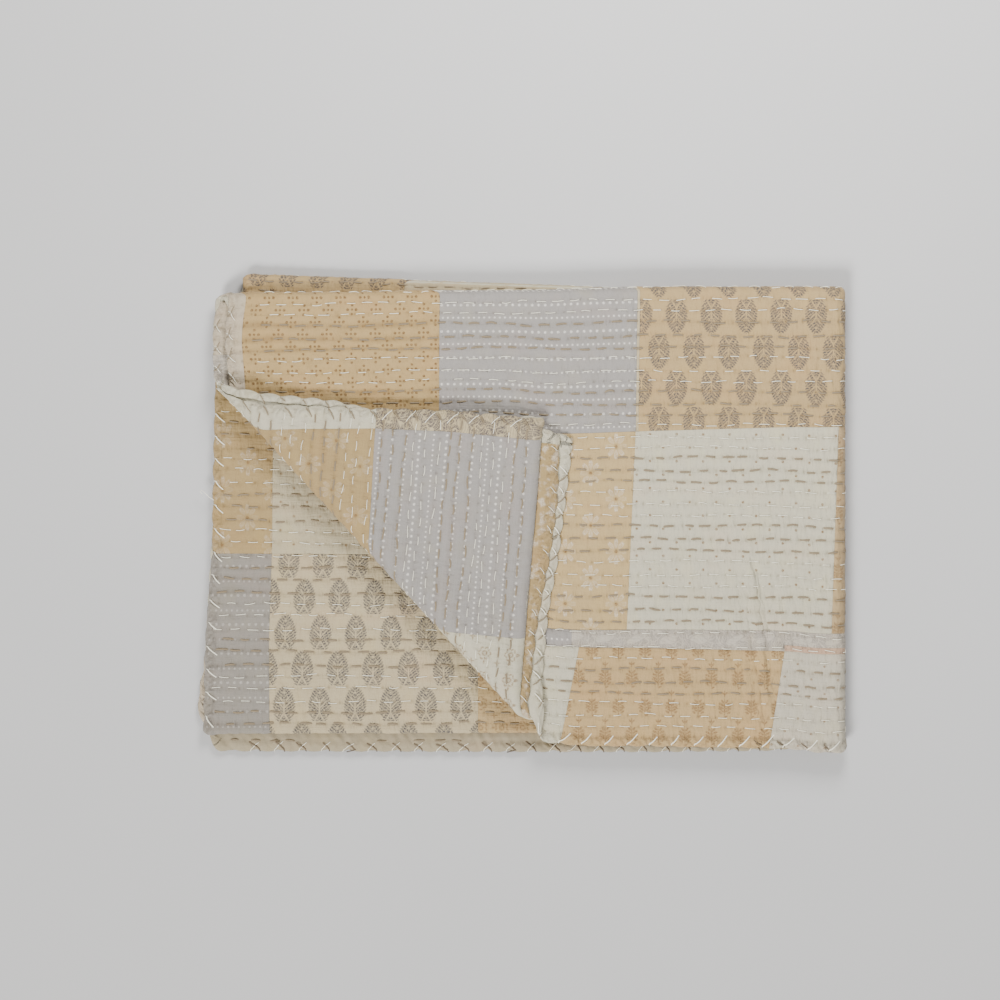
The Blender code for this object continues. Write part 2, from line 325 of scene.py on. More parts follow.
def gathers(u, v):
    """Small pleats that spread into the cloth from the hems' whip stitches."""
    inset, along = hem_distance(u, v), along_hem(u, v)
    off = along - np.round(along / HEM_PITCH) * HEM_PITCH
    # Each stitch's pleats fan out from a place just past the edge, no two alike
    angle = np.arctan2(off, inset + 0.002)
    bend = 7.0 + 2.0 * np.sin(along * 97)
    fade = np.exp(-((inset - GATHER_MIDDLE) / GATHER_SPREAD) ** 2)
    return GATHER * np.cos(bend * angle + 40 * along) * fade


def crease(u, v, start, stop, width, size):
    """Height of one soft crease, which fades out towards both its ends."""
    start, stop = np.array(start), np.array(stop)
    way = stop - start
    part = np.clip(((u - start[0]) * way[0] + (v - start[1]) * way[1]) / (way @ way), 0, 1)
    off = np.hypot(u - start[0] - part * way[0], v - start[1] - part * way[1])
    return size * np.exp(-(off / width) ** 2) * smooth_step(4 * part) * smooth_step(4 - 4 * part)


def relief(u, v):
    """Height of the quilted cloth above an even surface: ridges between rows, puckers and creases."""
    ridge = RIDGE * np.abs(np.sin(math.pi * row_number(u, v))) ** 1.3 - RIDGE / 2
    height = ridge + summed(PUCKERS, u, v) * PUCKER + summed(SWELLS, u, v) * SWELL + gathers(u, v)
    for soft_crease in CREASES:
        height = height + crease(u, v, *soft_crease)
    return height


EDGE_ROUNDING = 0.0018                      # the cloth's edges are rounded off over this much
RELIEF_ZONE = 0.006                         # the relief grows in over this much from the edges


def half_thickness(u, v):
    """Half the cloth's thickness: plump along its hems, and rounded off to nothing at its edges."""
    inset = hem_distance(u, v)
    fullness = PLUMP * (0.10 + 0.90 * lobe(along_hem(u, v) + 0.7 * inset))
    plump = fullness * np.sin(math.pi * np.clip(inset / HEM_WIDTH, 0, 1))
    inside = np.clip(inset / EDGE_ROUNDING, 0.0, 1.0)
    return SHEET / 2 * np.sqrt(1 - (1 - inside) ** 2) + plump


def cloth_top(u, v):
    """Height of the patchwork's surface over the sheet's middle."""
    return half_thickness(u, v) + relief(u, v) * smooth_step(hem_distance(u, v) / RELIEF_ZONE)


def graded(stops):
    """List places from one stop to the next, in steps of about the size given with each."""
    lines = [stops[0][0]]
    for (start, step), (stop, _) in zip(stops, stops[1:]):
        count = max(1, round((stop - start) / step))
        lines += [start + (stop - start) * k / count for k in range(1, count + 1)]
    return np.array(lines)


def add_mesh(name, points, faces, maps):
    """Make an object of points and faces, with its maps of the cloth: one number pair for each point."""
    mesh = bpy.data.meshes.new(name)
    mesh.from_pydata(np.asarray(points).tolist(), [], faces)
    loops = np.empty(len(mesh.loops), int)
    mesh.loops.foreach_get("vertex_index", loops)
    for label, pairs in maps.items():
        layer = mesh.uv_layers.new(name=label)
        layer.data.foreach_set("uv", np.asarray(pairs, np.float32)[loops].ravel())
    mesh.shade_smooth()
    piece = bpy.data.objects.new(name, mesh)
    bpy.context.scene.collection.objects.link(piece)
    return piece


def cloth_maps(u, v, motif=(0.0, 0.0)):
    """Maps of the cloth: millimetres from a motif, stitches by rows, and whip stitches by millimetres in."""
    return {"cloth": np.stack((motif[0] - u * MM, motif[1] - v * MM), axis=-1),
            "rows": np.stack((u / STITCH_PITCH, row_number(u, v)), axis=-1),
            "hem": np.stack((along_hem(u, v) / HEM_PITCH, hem_distance(u, v) * MM), axis=-1)}


def grid_faces(numbers, flip=False):
    """Join a grid of point numbers with four-sided faces."""
    a, b, c, d = numbers[:-1, :-1], numbers[1:, :-1], numbers[1:, 1:], numbers[:-1, 1:]
    corners = (d, c, b, a) if flip else (a, b, c, d)
    return np.stack([corner.ravel() for corner in corners], axis=-1).tolist()


# The materials' own arithmetic
def maths(operation):
    """A method of Value that works out one of the maths node's operations."""
    def method(value, *others):
        return value.of(operation, *others)
    return method


class Value:
    """A number that a material's nodes work out at each point of the cloth."""

    def __init__(self, tree, socket):
        self.tree, self.socket = tree, socket

    def of(self, operation, *others):
        """The outcome of one of the maths node's operations on this number and the others."""
        node = self.tree.nodes.new("ShaderNodeMath")
        node.operation = operation
        for slot, value in zip(node.inputs, (self, *others)):
            if isinstance(value, Value):
                self.tree.links.new(value.socket, slot)
            else:
                slot.default_value = value
        return Value(self.tree, node.outputs[0])

    __add__ = __radd__ = maths("ADD")
    __sub__ = maths("SUBTRACT")
    __mul__ = maths("MULTIPLY")
    __truediv__ = maths("DIVIDE")
    floor = maths("FLOOR")
    fraction = maths("FRACT")
    sin = maths("SINE")
    cos = maths("COSINE")
    size = maths("ABSOLUTE")
    root = maths("SQRT")
    least = maths("MINIMUM")
    most = maths("MAXIMUM")

    def __rsub__(self, other):
        return self * -1.0 + other

    def clear(self):
        """This number, kept between 0 and 1."""
        return self.most(0.0).least(1.0)

    def square(self):
        """This number times itself."""
        return self.of("POWER", 2.0)

    def bell(self, width):
        """1 where this is 0, falling off to nothing at about twice the width to either side."""
        return ((self / width).square() * -1.0).of("EXPONENT")

    def under(self, edge, blur):
        """1 where this is below the edge, 0 where it is above, with a blurred step between."""
        node = self.tree.nodes.new("ShaderNodeMapRange")
        node.interpolation_type = "SMOOTHSTEP"
        self.tree.links.new(self.socket, node.inputs["Value"])
        limits = {"From Min": edge - blur, "From Max": edge + blur, "To Min": 1.0, "To Max": 0.0}
        for name, value in limits.items():
            node.inputs[name].default_value = value
        return Value(self.tree, node.outputs["Result"])


def span(x, y):
    """How far a place is from the middle."""
    return (x.square() + y.square()).root()


def noise(tree, x, y, detail=2.0, z=0.0):
    """Soft random values between 0 and 1 over a place."""
    spot = tree.nodes.new("ShaderNodeCombineXYZ")
    for slot, value in zip(spot.inputs, (x, y)):
        tree.links.new(value.socket, slot)
    spot.inputs[2].default_value = z
    node = tree.nodes.new("ShaderNodeTexNoise")
    node.inputs["Scale"].default_value = 1.0
    node.inputs["Detail"].default_value = detail
    tree.links.new(spot.outputs[0], node.inputs["Vector"])
    return Value(tree, node.outputs["Fac"])


def tinted(colour, tint):
    """Multiply a colour by a tint."""
    return tuple(min(1.0, channel * share) for channel, share in zip(colour, tint))


def map_pair(tree, label):
    """The two numbers of one of the cloth's maps."""
    source = tree.nodes.new("ShaderNodeUVMap")
    source.uv_map = label
    parts = tree.nodes.new("ShaderNodeSeparateXYZ")
    tree.links.new(source.outputs[0], parts.inputs[0])
    return Value(tree, parts.outputs[0]), Value(tree, parts.outputs[1])


def mixed(tree, share, first, second):
    """Mix two colours; each is a colour or an output socket."""
    node = tree.nodes.new("ShaderNodeMix")
    node.data_type = "RGBA"
    tree.links.new(share.socket, node.inputs[0])
    for slot, colour in ((node.inputs[6], first), (node.inputs[7], second)):
        if isinstance(colour, bpy.types.NodeSocket):
            tree.links.new(colour, slot)
        else:
            slot.default_value = (*colour, 1.0)
    return node.outputs[2]


def finish_cotton(tree, colour, rough, height, depth, strength, specular, sheen):
    """Set a cotton's colour, roughness, bump (its height times depth, in metres), highlights and sheen."""
    shader = tree.nodes["Principled BSDF"]
    bump = tree.nodes.new("ShaderNodeBump")
    bump.inputs["Strength"].default_value = strength
    bump.inputs["Distance"].default_value = depth
    tree.links.new(height.socket, bump.inputs["Height"])
    tree.links.new(bump.outputs[0], shader.inputs["Normal"])
    tree.links.new(colour, shader.inputs["Base Color"])
    tree.links.new(rough.socket, shader.inputs["Roughness"])
    shader.inputs["Specular IOR Level"].default_value = specular
    shader.inputs["Sheen Weight"].default_value = sheen
    return shader


# Two creases pressed in by folding, down the right-hand side, in millimetres on the cloth
FOLD_LINES = (((110, 1628), (104, 1652), (104, 1674), (99, 1695), (95, 1722), (89, 1770)),
              ((100, 1606), (91, 1645), (85, 1676), (84, 1705), (81, 1738)))
# Tints of a cotton: its slubs, its drifts of dye, its painted shade in the hems' pleats, and its painted
# shade and tan smear along its stitches
SLUBBED = (0.84, 0.84, 0.84)
YELLOWER, ROSIER, SOILED = (1.07, 1.05, 0.93), (1.04, 0.96, 0.94), (0.90, 0.88, 0.84)
PLEAT_SHADE, STITCH_SHADE_AND_SMEAR = (0.42, 0.36, 0.28), (0.50, 0.45, 0.38)
WARP_PITCH, WEFT_PITCH = 0.62, 0.58         # of the weave, in millimetres


def from_line(u, v, places):
    """The distance to a line through some places."""
    nearest = None
    for (au, av), (bu, bv) in zip(places, places[1:]):
        du, dv = bu - au, bv - av
        square = du * du + dv * dv
        share = ((u - au) * (du / square) + (v - av) * (dv / square)).clear()
        gap = (u - au - share * du).square() + (v - av - share * dv).square()
        nearest = gap if nearest is None else nearest.least(gap)
    return nearest.root()


def stitched_down(tree, x, y, height, patchy, dull, smear, creased):
    """Quilt a cotton: fine wrinkles that cross the rows, and the cloth drawn down along each stitch.

    Returns its height in millimetres, and how much it is darkened: painted shade at the stitches' ends, along
    the rows, in the wrinkles' troughs and along the creases, and a tan smear about the tan rows.
    """
    step, row = map_pair(tree, "rows")
    nearest = (row + 0.5).floor()
    off = (row - nearest) * (ROW_PITCH * MM)
    stitch = (step + (nearest * GOLDEN).fraction()).fraction() - 0.5 * STITCH / STITCH_PITCH
    from_end = (stitch * (STITCH_PITCH * MM)).size() - MM / 2 * STITCH
    wrinkle = noise(tree, x * 0.24, y * 0.070, 2.0, 5.0) - 0.5
    fine_wrinkle = noise(tree, x * 0.050, y * 0.42, 2.0, 9.0) - 0.5
    near = off.bell(6.5)
    height = (height + wrinkle * near * 2.4 + fine_wrinkle * 0.8 - off.bell(1.6) * 0.30
              - off.bell(1.2) * from_end.bell(0.9) * 0.35)
    # Painted shade in the wrinkles' troughs near the rows
    wrinkle_shade = (wrinkle * -3.2 - fine_wrinkle * 3.0 - 0.10).clear() * near * 0.07
    tan_row = (nearest / 3.0).floor().of("MULTIPLY", 0.5).fraction() * 2.0
    # Painted shade at each stitch's ends and along the rows, and a tan smear about the tan rows
    shade_and_smear = (off.bell(1.3) * from_end.bell(1.3) * 0.40 + off.bell(2.2) * 0.06 + wrinkle_shade
              + off.bell(3.0) * tan_row * ((patchy - 0.25) * 3.2).clear() * smear)
    if creased:
        aslant = (noise(tree, x * 0.06, y * 0.06, 1.0, 31.0) - 0.5) * 7.0
        for places in FOLD_LINES:
            along, across = step * (STITCH_PITCH * MM) + aslant, row * (ROW_PITCH * MM) + FIRST_ROW * MM
            away = from_line(along, across, places)
            height = height + (away - 2.8).bell(1.9) * 0.36 - away.bell(1.8) * 0.46
            # Painted shade along each crease
            shade_and_smear = shade_and_smear + away.bell(1.5) * (dull * 0.7 - 0.22).clear()
    return height, shade_and_smear


def cotton(name, ground, prints=(), quilted=True, smear=0.10, creased=False, pleats=0.75):
    """Make a printed cotton: its ground colour, and functions that give each print's mask and colour.

    smear is how much the tan rows have dulled the cloth about them, and pleats how deep the hems' pleats are.
    """
    material = bpy.data.materials.new(name)
    material.use_nodes = True
    tree = material.node_tree
    x, y = map_pair(tree, "cloth")
    # Slubs in the yarn, and an uneven dye
    slub = noise(tree, x * 2.2, y * 0.20) * 0.5 + noise(tree, x * 0.20, y * 2.2, z=3.0) * 0.5
    patchy = noise(tree, x * 0.045, y * 0.030, 4.0, 7.0)
    rosy = noise(tree, x * 0.020, y * 0.035, 3.0, 15.0)
    dull = noise(tree, x * 0.055, y * 0.090, 3.0, 21.0)
    colour = ground
    for drift, level, gain, tint in ((slub, 0.46, 2.6, SLUBBED), (patchy, 0.50, 3.0, YELLOWER),
                                     (rosy, 0.52, 3.4, ROSIER), (dull, 0.52, 3.2, SOILED)):
        colour = mixed(tree, ((drift - level) * gain).clear(), colour, tinted(ground, tint))
    ink_wear = noise(tree, x * 0.8, y * 0.8, 3.0, 1.0)
    for make_print in prints:
        mask, ink, strength = make_print(tree, x, y)
        worn = mask * ((ink_wear - 0.32) * 4.0).least(1.0).most(0.45) * strength
        colour = mixed(tree, worn, colour, ink)
    weave = (x * (2 * math.pi / WARP_PITCH)).sin() * (y * (2 * math.pi / WEFT_PITCH)).sin()
    # Pleats that fan out from the hems' whip stitches
    whip_step, inset = map_pair(tree, "hem")
    aside = ((whip_step + 0.5).fraction() - 0.5) * (HEM_PITCH * MM)
    fan = aside.of("ARCTAN2", inset + 2.5)
    pleat = (fan * 9.0 + (dull - 0.5) * 9.0).cos() * (inset - 6.0).bell(5.5) * pleats
    height = weave * 0.015 + slub * 0.16 + pleat * 0.80
    # Paint shade into the pleats' troughs
    colour = mixed(tree, (pleat * -0.55 - 0.06).clear(), colour, tinted(ground, PLEAT_SHADE))
    if quilted:
        height, shade_and_smear = stitched_down(tree, x, y, height, patchy, dull, smear, creased)
        # Darken the cloth: painted shade along its stitches, wrinkles and creases, and the tan rows' smear
        colour = mixed(tree, shade_and_smear.clear(), colour, tinted(ground, STITCH_SHADE_AND_SMEAR))
    shader = finish_cotton(tree, colour, slub * 0.16 + 0.80, height, 1 / MM, 1.0, 0.25, 0.15)
    shader.inputs["Sheen Roughness"].default_value = 0.5
    return material


IVORY = (0.538, 0.500, 0.374)
CREAM = (0.490, 0.405, 0.250)
BEIGE = (0.483, 0.331, 0.155)
GREY = (0.322, 0.299, 0.276)

# The back's grid: its lines along the edges, the number of them round each fold, and its zones. A zone is
# from and to, and the step between its lines; without a step it has a line at each whip stitch.
EDGE = ((0.0, 0.0004), (0.0016, 0.0018), (0.010, 0.0018))
FOLD_GRID = (6, 6, 9)
U_ZONES = ((-0.612, -0.040), (-0.036, 0.036, 0.003), (0.040, 0.250), (0.256, 0.617, 0.0031))
V_ZONES = ((0.020, 0.430), (0.450, 0.515), (0.520, 0.580, 0.006), (0.580, 0.874, 0.0037), (0.890, 1.215),
           (1.225, 1.315, 0.0037), (1.339, 1.445, 0.0045), (1.455, 1.740), (1.756, 1.781, 0.0024))
FACE_SHARE = 0.15                           # the back's face is kept low, inside the patches' lobes
UNDERSIDE_RELIEF = 0.4                      # how much of the patchwork's relief comes through


def at_stitches(start, stop):
    """Places of the whip stitches along an edge, from start to stop."""
    return np.arange(math.ceil(start / HEM_PITCH), math.floor(stop / HEM_PITCH) + 1) * HEM_PITCH


def zone_lines(start, stop, step=None):
    """Lines of one zone of the back's grid."""
    return at_stitches(start, stop) if step is None else graded(((start, step), (stop, step)))


edge_lines = graded(EDGE)
fold_lines = [np.linspace(QUARTER_STARTS[k + 1] - FOLD_WIDTHS[k], QUARTER_STARTS[k + 1], FOLD_GRID[k])
              for k in range(3)]
u_lines = np.concatenate((
    edge_lines - HALF_LENGTH, *(zone_lines(*zone) for zone in U_ZONES), HALF_LENGTH - edge_lines))
v_lines = np.unique(np.concatenate((
    edge_lines, *(zone_lines(*zone) for zone in V_ZONES), CLOTH_WIDTH - edge_lines, *fold_lines)).round(7))
u_grid, v_grid = np.meshgrid(u_lines, v_lines, indexing="ij")
u_within, v_within = u_grid[1:-1, 1:-1], v_grid[1:-1, 1:-1]
half = half_thickness(u_grid, v_grid)
eased = smooth_step(hem_distance(u_grid, v_grid) / RELIEF_ZONE) * relief(u_grid, v_grid)
face = place(u_grid, v_grid, half * FACE_SHARE)
underside = place(u_grid, v_grid, -half + UNDERSIDE_RELIEF * eased)[1:-1, 1:-1]
face_numbers = np.arange(u_grid.size).reshape(u_grid.shape)
underside_numbers = face_numbers.copy()
underside_numbers[1:-1, 1:-1] = u_grid.size + np.arange(u_within.size).reshape(u_within.shape)
quilt_back = add_mesh(
    "quilt_back", np.concatenate((face.reshape(-1, 3), underside.reshape(-1, 3))),
    grid_faces(face_numbers) + grid_faces(underside_numbers, flip=True),
    cloth_maps(np.concatenate((u_grid.ravel(), u_within.ravel())),
               np.concatenate((v_grid.ravel(), v_within.ravel()))))
quilt_back.data.materials.append(cotton("ivory back cotton", IVORY, quilted=False))
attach(quilt_back, "root")
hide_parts("quilt")


# ======================================================================================================
# The patchwork
# Rectangles of block-printed cotton, joined edge to edge in rows and sewn down over the back. Each patch
# is one piece, and its seams lie a little lower than its middle.
# ======================================================================================================
def cells(x, y, wide, high, shift=0.5):
    """Split the cloth into cells, each second row moved on by a share of a cell, and centre each."""
    if shift:
        row = (y / high + 0.5).floor()
        x = x + (row * 0.5).fraction() * (2 * shift * wide)
    return ((x / wide + 0.5).fraction() - 0.5) * wide, ((y / high + 0.5).fraction() - 0.5) * high


def dot(x, y, place_x, place_y, radius, blur=0.5):
    """A printed dot."""
    return span(x - place_x, y - place_y).under(radius, blur)


def stroke(x, y, start, stop, thick):
    """A printed stroke from one point to another, tapered at its ends."""
    (ax, ay), (bx, by) = start, stop
    length = math.hypot(bx - ax, by - ay)
    tx, ty = (bx - ax) / length, (by - ay) / length
    along = (x - (ax + bx) / 2) * tx + (y - (ay + by) / 2) * ty
    across = (x - (ax + bx) / 2) * -ty + (y - (ay + by) / 2) * tx
    return span(along / (length / 2), across / thick).under(1.0, 0.45)


def mirrored_strokes(x, y, strokes, thick):
    """Draw strokes on both sides of a motif's stem."""
    side = x.size()
    whole = None
    for start, stop in strokes:
        mark = stroke(side, y, start, stop, thick)
        whole = mark if whole is None else whole.most(mark)
    return whole


# A print is a function that takes a place on the cloth in millimetres from the middle of one of its
# motifs, and gives its mask there, its ink and the ink's strength
def booti(ink, wide, high, strength):
    """Oval trees, about 21 by 33 mm, in staggered rows: dense slanting leaves about an open trunk."""
    def draw(tree, x, y):
        wobble = noise(tree, x * 0.16, y * 0.16, 1.0, 6.0) - 0.5
        x, y = cells(x, y, wide, high)
        side = x.size()
        leaves = ((side * 0.80 + y) * 1.95 + (side * 1.1 - y * 0.7).sin() * 0.7 + wobble * 2.6).sin()
        breaks = (side * 1.1 - y * 0.55 + 0.8 + wobble * 4.0).sin()
        rise = y / 17.2
        crown = ((side / (10.4 + y * 0.10)).square() + rise * rise * (1.0 - rise * 0.20)).root()
        crown = (crown + leaves * 0.060).under(1.0, 0.06)
        open_cloth = (1.0 - leaves.under(0.72, 0.30)).most(1.0 - breaks.under(0.96, 0.10)) * 0.84
        trunk = stroke(side, y, (0.0, 13.0), (0.0, -4.0), 0.75)
        trunk = trunk.most(stroke(side, y, (0.0, 9.0), (4.6, 16.8), 0.70))
        trunk = trunk.most(stroke(side, y, (0.2, 5.0), (7.0, -2.4), 0.60)).most(dot(side, y, 6.6, 11.2, 1.0))
        trunk = trunk.most(stroke(side, y, (0.2, 0.0), (5.2, -6.4), 0.55)).most(dot(side, y, 0.0, -10.5, 0.9))
        return crown * (1.0 - trunk.most(open_cloth)), ink, strength
    return draw


def dot_crosses(ink, strength):
    """Small crosses of five dots."""
    def draw(tree, x, y):
        x, y = cells(x, y, 24.5, 12.75)
        arms = dot(x.size(), y, 4.3, 0.0, 1.5).most(dot(x, y.size(), 0.0, 4.7, 1.35))
        return arms.most(dot(x, y, 0.0, 0.0, 1.25)), ink, strength
    return draw


def dotted_lines(ink, strength):
    """Lines of white dots, a wide one and a fine one in turn."""
    def draw(tree, x, y):
        big_x, big_y = cells(x, y, 6.5, 28.0, 0.0)
        fine_x, fine_y = cells(x, y + 13.4, 5.2, 28.0, 0.0)
        wide_line, fine_line = dot(big_x, big_y, 0.0, 0.0, 1.30, 0.6), dot(fine_x, fine_y, 0.0, 0.0, 1.0)
        return wide_line.most(fine_line), ink, strength
    return draw


def white_flowers(ink, strength):
    """Open flowers of eight notched petals, about 24 mm wide."""
    def draw(tree, x, y):
        x, y = cells(x, y, 51.0, 26.5)
        x, y = x / 0.92, y / 1.10
        radius = span(x, y)
        turn = y.of("ARCTAN2", x)
        petal = (turn * 4.0).cos().size()
        rim = radius - petal * 6.2 - 5.4 + (turn * 24.0).cos() * 0.5
        inside = rim.under(0.0, 1.1)
        gap = 1.0 - petal.under(0.34, 0.24)
        ring = 1.0 - radius.under(3.4, 0.9)
        ribs = 0.42 + rim.size().under(1.6, 1.0) * 0.58
        fan = turn.sin().size() * 0.75 + 0.30
        return inside * gap * ring * ribs * fan, ink, strength
    return draw


def loose_dots(ink, wide, high, radius, strength, blur=0.5):
    """Single dots in staggered rows: the hearts of the open flowers, or tiny ones on plain cloth."""
    def draw(tree, x, y):
        x, y = cells(x, y, wide, high)
        return dot(x, y, 0.0, 0.0, radius, blur), ink, strength
    return draw


SPRIG_LEAVES = (((0.5, -4.0), (4.8, -0.6)), ((0.5, -1.0), (6.0, 2.2)), ((0.5, 2.0), (5.2, 5.4)),
                ((0.5, 5.0), (3.6, 8.4)), ((2.4, -5.6), (5.8, -3.4)), ((3.0, 0.4), (6.4, -1.0)),
                ((2.6, 4.0), (6.0, 4.6)))


def sprigs(ink, strength):
    """Leafy sprigs, about 13 by 18 mm, and a small one between each two."""
    def draw(tree, x, y):
        a, b = cells(x, y, 26.6, 28.7)
        whole = mirrored_strokes(a, b, SPRIG_LEAVES, 1.15).most(stroke(a, b, (0.0, -9.0), (0.0, 9.5), 0.8))
        whole = whole.most(stroke(a, b, (0.0, -9.0), (3.2, -7.4), 0.9))
        c, d = cells(x + 13.3, y + 14.3, 26.6, 28.7)
        little = mirrored_strokes(c, d, (((0.3, -1.0), (2.8, 1.8)),), 0.9)
        little = little.most(stroke(c, d, (0.0, -3.4), (0.0, 3.4), 0.7))
        return whole.most(little), ink, strength
    return draw


def rings(ink, wide, high, strength):
    """Round flowers of petals about 15 mm wide, and a small cross between each two."""
    def draw(tree, x, y):
        a, b = cells(x, y, wide, high, 0.0)
        radius = span(a, b)
        turn = b.of("ARCTAN2", a)
        edge = (radius - (turn * 3.0).sin().size() * 1.6 - 4.6).size().under(0.95, 0.5)
        edge = edge * (1.0 - (turn * 9.0).sin().under(-0.5, 0.3) * 0.6)
        heart = (radius - 2.0).size().under(0.75, 0.4).most(radius.under(3.4, 0.4) * 0.35)
        stalk = stroke(a, b, (6.0, 0.0), (10.5, 0.0), 0.9)
        c, d = cells(x + wide * 0.64, y + high * 0.5, wide, high, 0.0)
        cross = stroke(c, d, (-3.6, 0.0), (3.6, 0.0), 0.8).most(stroke(c, d, (0.0, -3.6), (0.0, 3.6), 0.8))
        return edge.most(heart).most(stalk).most(cross), ink, strength
    return draw


def scrolls(ink, wide, high, strength):
    """Large open petals, between dense foliage that is finely hatched and cut by winding stems."""
    def draw(tree, x, y):
        bend = noise(tree, x * 0.055, y * 0.055, 1.0, 2.0) - 0.5
        sway = noise(tree, x * 0.050, y * 0.050, 1.0, 12.0) - 0.5
        a, b = cells(x + bend * 16.0, y + sway * 12.0, wide, high)
        petal = span(a / (wide * 0.30), (b - a * 0.3) / (high * 0.24))
        hatch = ((x + sway * 34.0) * 1.9 + (y + bend * 34.0) * 1.1).sin().under(0.72, 0.5)
        stem = (noise(tree, x * 0.090, y * 0.090, 1.0, 5.0) - 0.5).size().under(0.016, 0.010)
        foliage = (1.0 - petal.under(1.0, 0.12)) * (1.0 - stem) * hatch
        veins = petal.under(0.9, 0.1) * (b * 2.4 + a * 0.5).sin().under(-0.75, 0.2) * 0.5
        return foliage.most((petal - 1.0).size().under(0.07, 0.06)).most(veins), ink, strength
    return draw


def blotches(ink, strength):
    """Pale blotches, loosely strewn, as a worn print of vines leaves."""
    def draw(tree, x, y):
        return ((noise(tree, x * 0.11, y * 0.11, 2.0, 8.0) - 0.50) * 7.0).clear(), ink, strength
    return draw


STONE = (0.074, 0.068, 0.070)
PLUM = (0.090, 0.074, 0.077)
WHITE = (0.88, 0.84, 0.76)
OCHRE = (0.198, 0.106, 0.037)
UMBER = (0.150, 0.080, 0.028)
RUST = (0.210, 0.117, 0.046)
SHADE = (0.80, 0.82, 0.79)                  # painted shade: darkens and dulls the cottons on and under the turned corner


def flower_hearts(strength):
    """The ochre hearts of the open flowers."""
    return loose_dots(OCHRE, 51.0, 26.5, 1.7, strength, 0.7)


def small_dots(strength):
    """Tiny ochre dots in staggered rows."""
    return loose_dots(OCHRE, 26.6, 13.6, 1.3, strength)


cottons = {
    "booti_beige": cotton("beige cotton, grey booti", tinted(BEIGE, (0.94, 0.96, 0.97)),
                          (booti(STONE, 35.0, 36.0, 1.0),)),
    "booti_cream": cotton("cream cotton, grey booti", CREAM, (booti(STONE, 34.8, 34.7, 1.0),)),
    "dots_beige": cotton("beige cotton, dot crosses", tinted(BEIGE, (0.94, 0.94, 0.88)),
                         (blotches(OCHRE, 0.13), dot_crosses(UMBER, 1.0)), smear=0.45),
    "grey": cotton("grey cotton, dotted lines", GREY, (dotted_lines(WHITE, 0.75),)),
    # A darker, duller copy of the grey cotton with a fainter print: painted shade, for the layers under the
    # turned corner
    "grey_low": cotton("soiled grey cotton, dotted lines", tinted(GREY, (0.86, 0.84, 0.78)),
                       (dotted_lines(WHITE, 0.30),), smear=0.26),
    "flowers": cotton("beige cotton, white flowers", tinted(BEIGE, (1.03, 1.08, 1.09)),
                      (white_flowers(WHITE, 0.50), flower_hearts(0.95))),
    # A darker copy of the flowered beige, tinted by painted shade, for the turned corner and the layers under
    # it
    "flowers_low": cotton("soiled beige cotton, white flowers", tinted(BEIGE, SHADE),
                          (white_flowers(WHITE, 0.26), flower_hearts(0.85)), smear=0.16),
    "ivory_dots": cotton("ivory cotton, tan dots", IVORY, (small_dots(1.0),), creased=True),
    "ivory_near": cotton("dull ivory cotton, tan dots", tinted(IVORY, (0.93, 0.91, 0.95)),
                         (small_dots(0.85),), creased=True),
    # A darker, duller copy of the ivory cotton: painted shade, for the layers under the turned corner
    "ivory_low": cotton("soiled ivory cotton, tan dots", tinted(IVORY, (0.86, 0.80, 0.70)),
                        (small_dots(0.85),)),
    "sprigs": cotton("beige cotton, sprigs", BEIGE, (sprigs(RUST, 0.85),), smear=0.14, creased=True),
    "sprigs_worn": cotton("worn beige cotton, sprigs", tinted(BEIGE, (0.90, 0.94, 1.05)),
                          (sprigs(RUST, 0.70),), smear=0.14),
    "rings_ivory": cotton("ivory cotton, ring flowers", IVORY, (rings(RUST, 25.0, 27.0, 0.78),)),
    "rings_beige": cotton("beige cotton, ring flowers", tinted(BEIGE, (0.95, 0.98, 1.02)),
                          (rings(RUST, 21.0, 24.0, 0.75),)),
    # Its ground is tinted by painted shade, for the turned corner's hem
    "vines_beige": cotton("beige cotton, cream vines", tinted(BEIGE, SHADE), (blotches(WHITE, 0.42),)),
    "scrolls_grey": cotton("pale cotton, plum flowers", (0.490, 0.438, 0.358),
                           (scrolls(PLUM, 32.0, 17.0, 0.42),), creased=True),
    "scrolls_cream": cotton("cream cotton, plum flowers", CREAM, (scrolls(PLUM, 27.0, 25.0, 1.0),)),
    "cream": cotton("plain cream cotton", CREAM),
    "pale": cotton("pale cotton", (0.490, 0.410, 0.300)),
    # A darker copy of the cream: painted shade, for the lower layers' hem along the near side
    "dull_cream": cotton("dull cream cotton", tinted(CREAM, (0.76, 0.77, 0.82)), quilted=False, pleats=0.30),
    "ivory": cotton("plain ivory cotton", IVORY),
    "peach": cotton("peach cotton", (0.50, 0.34, 0.23)),
}

END = HALF_LENGTH
LAST = CLOTH_WIDTH
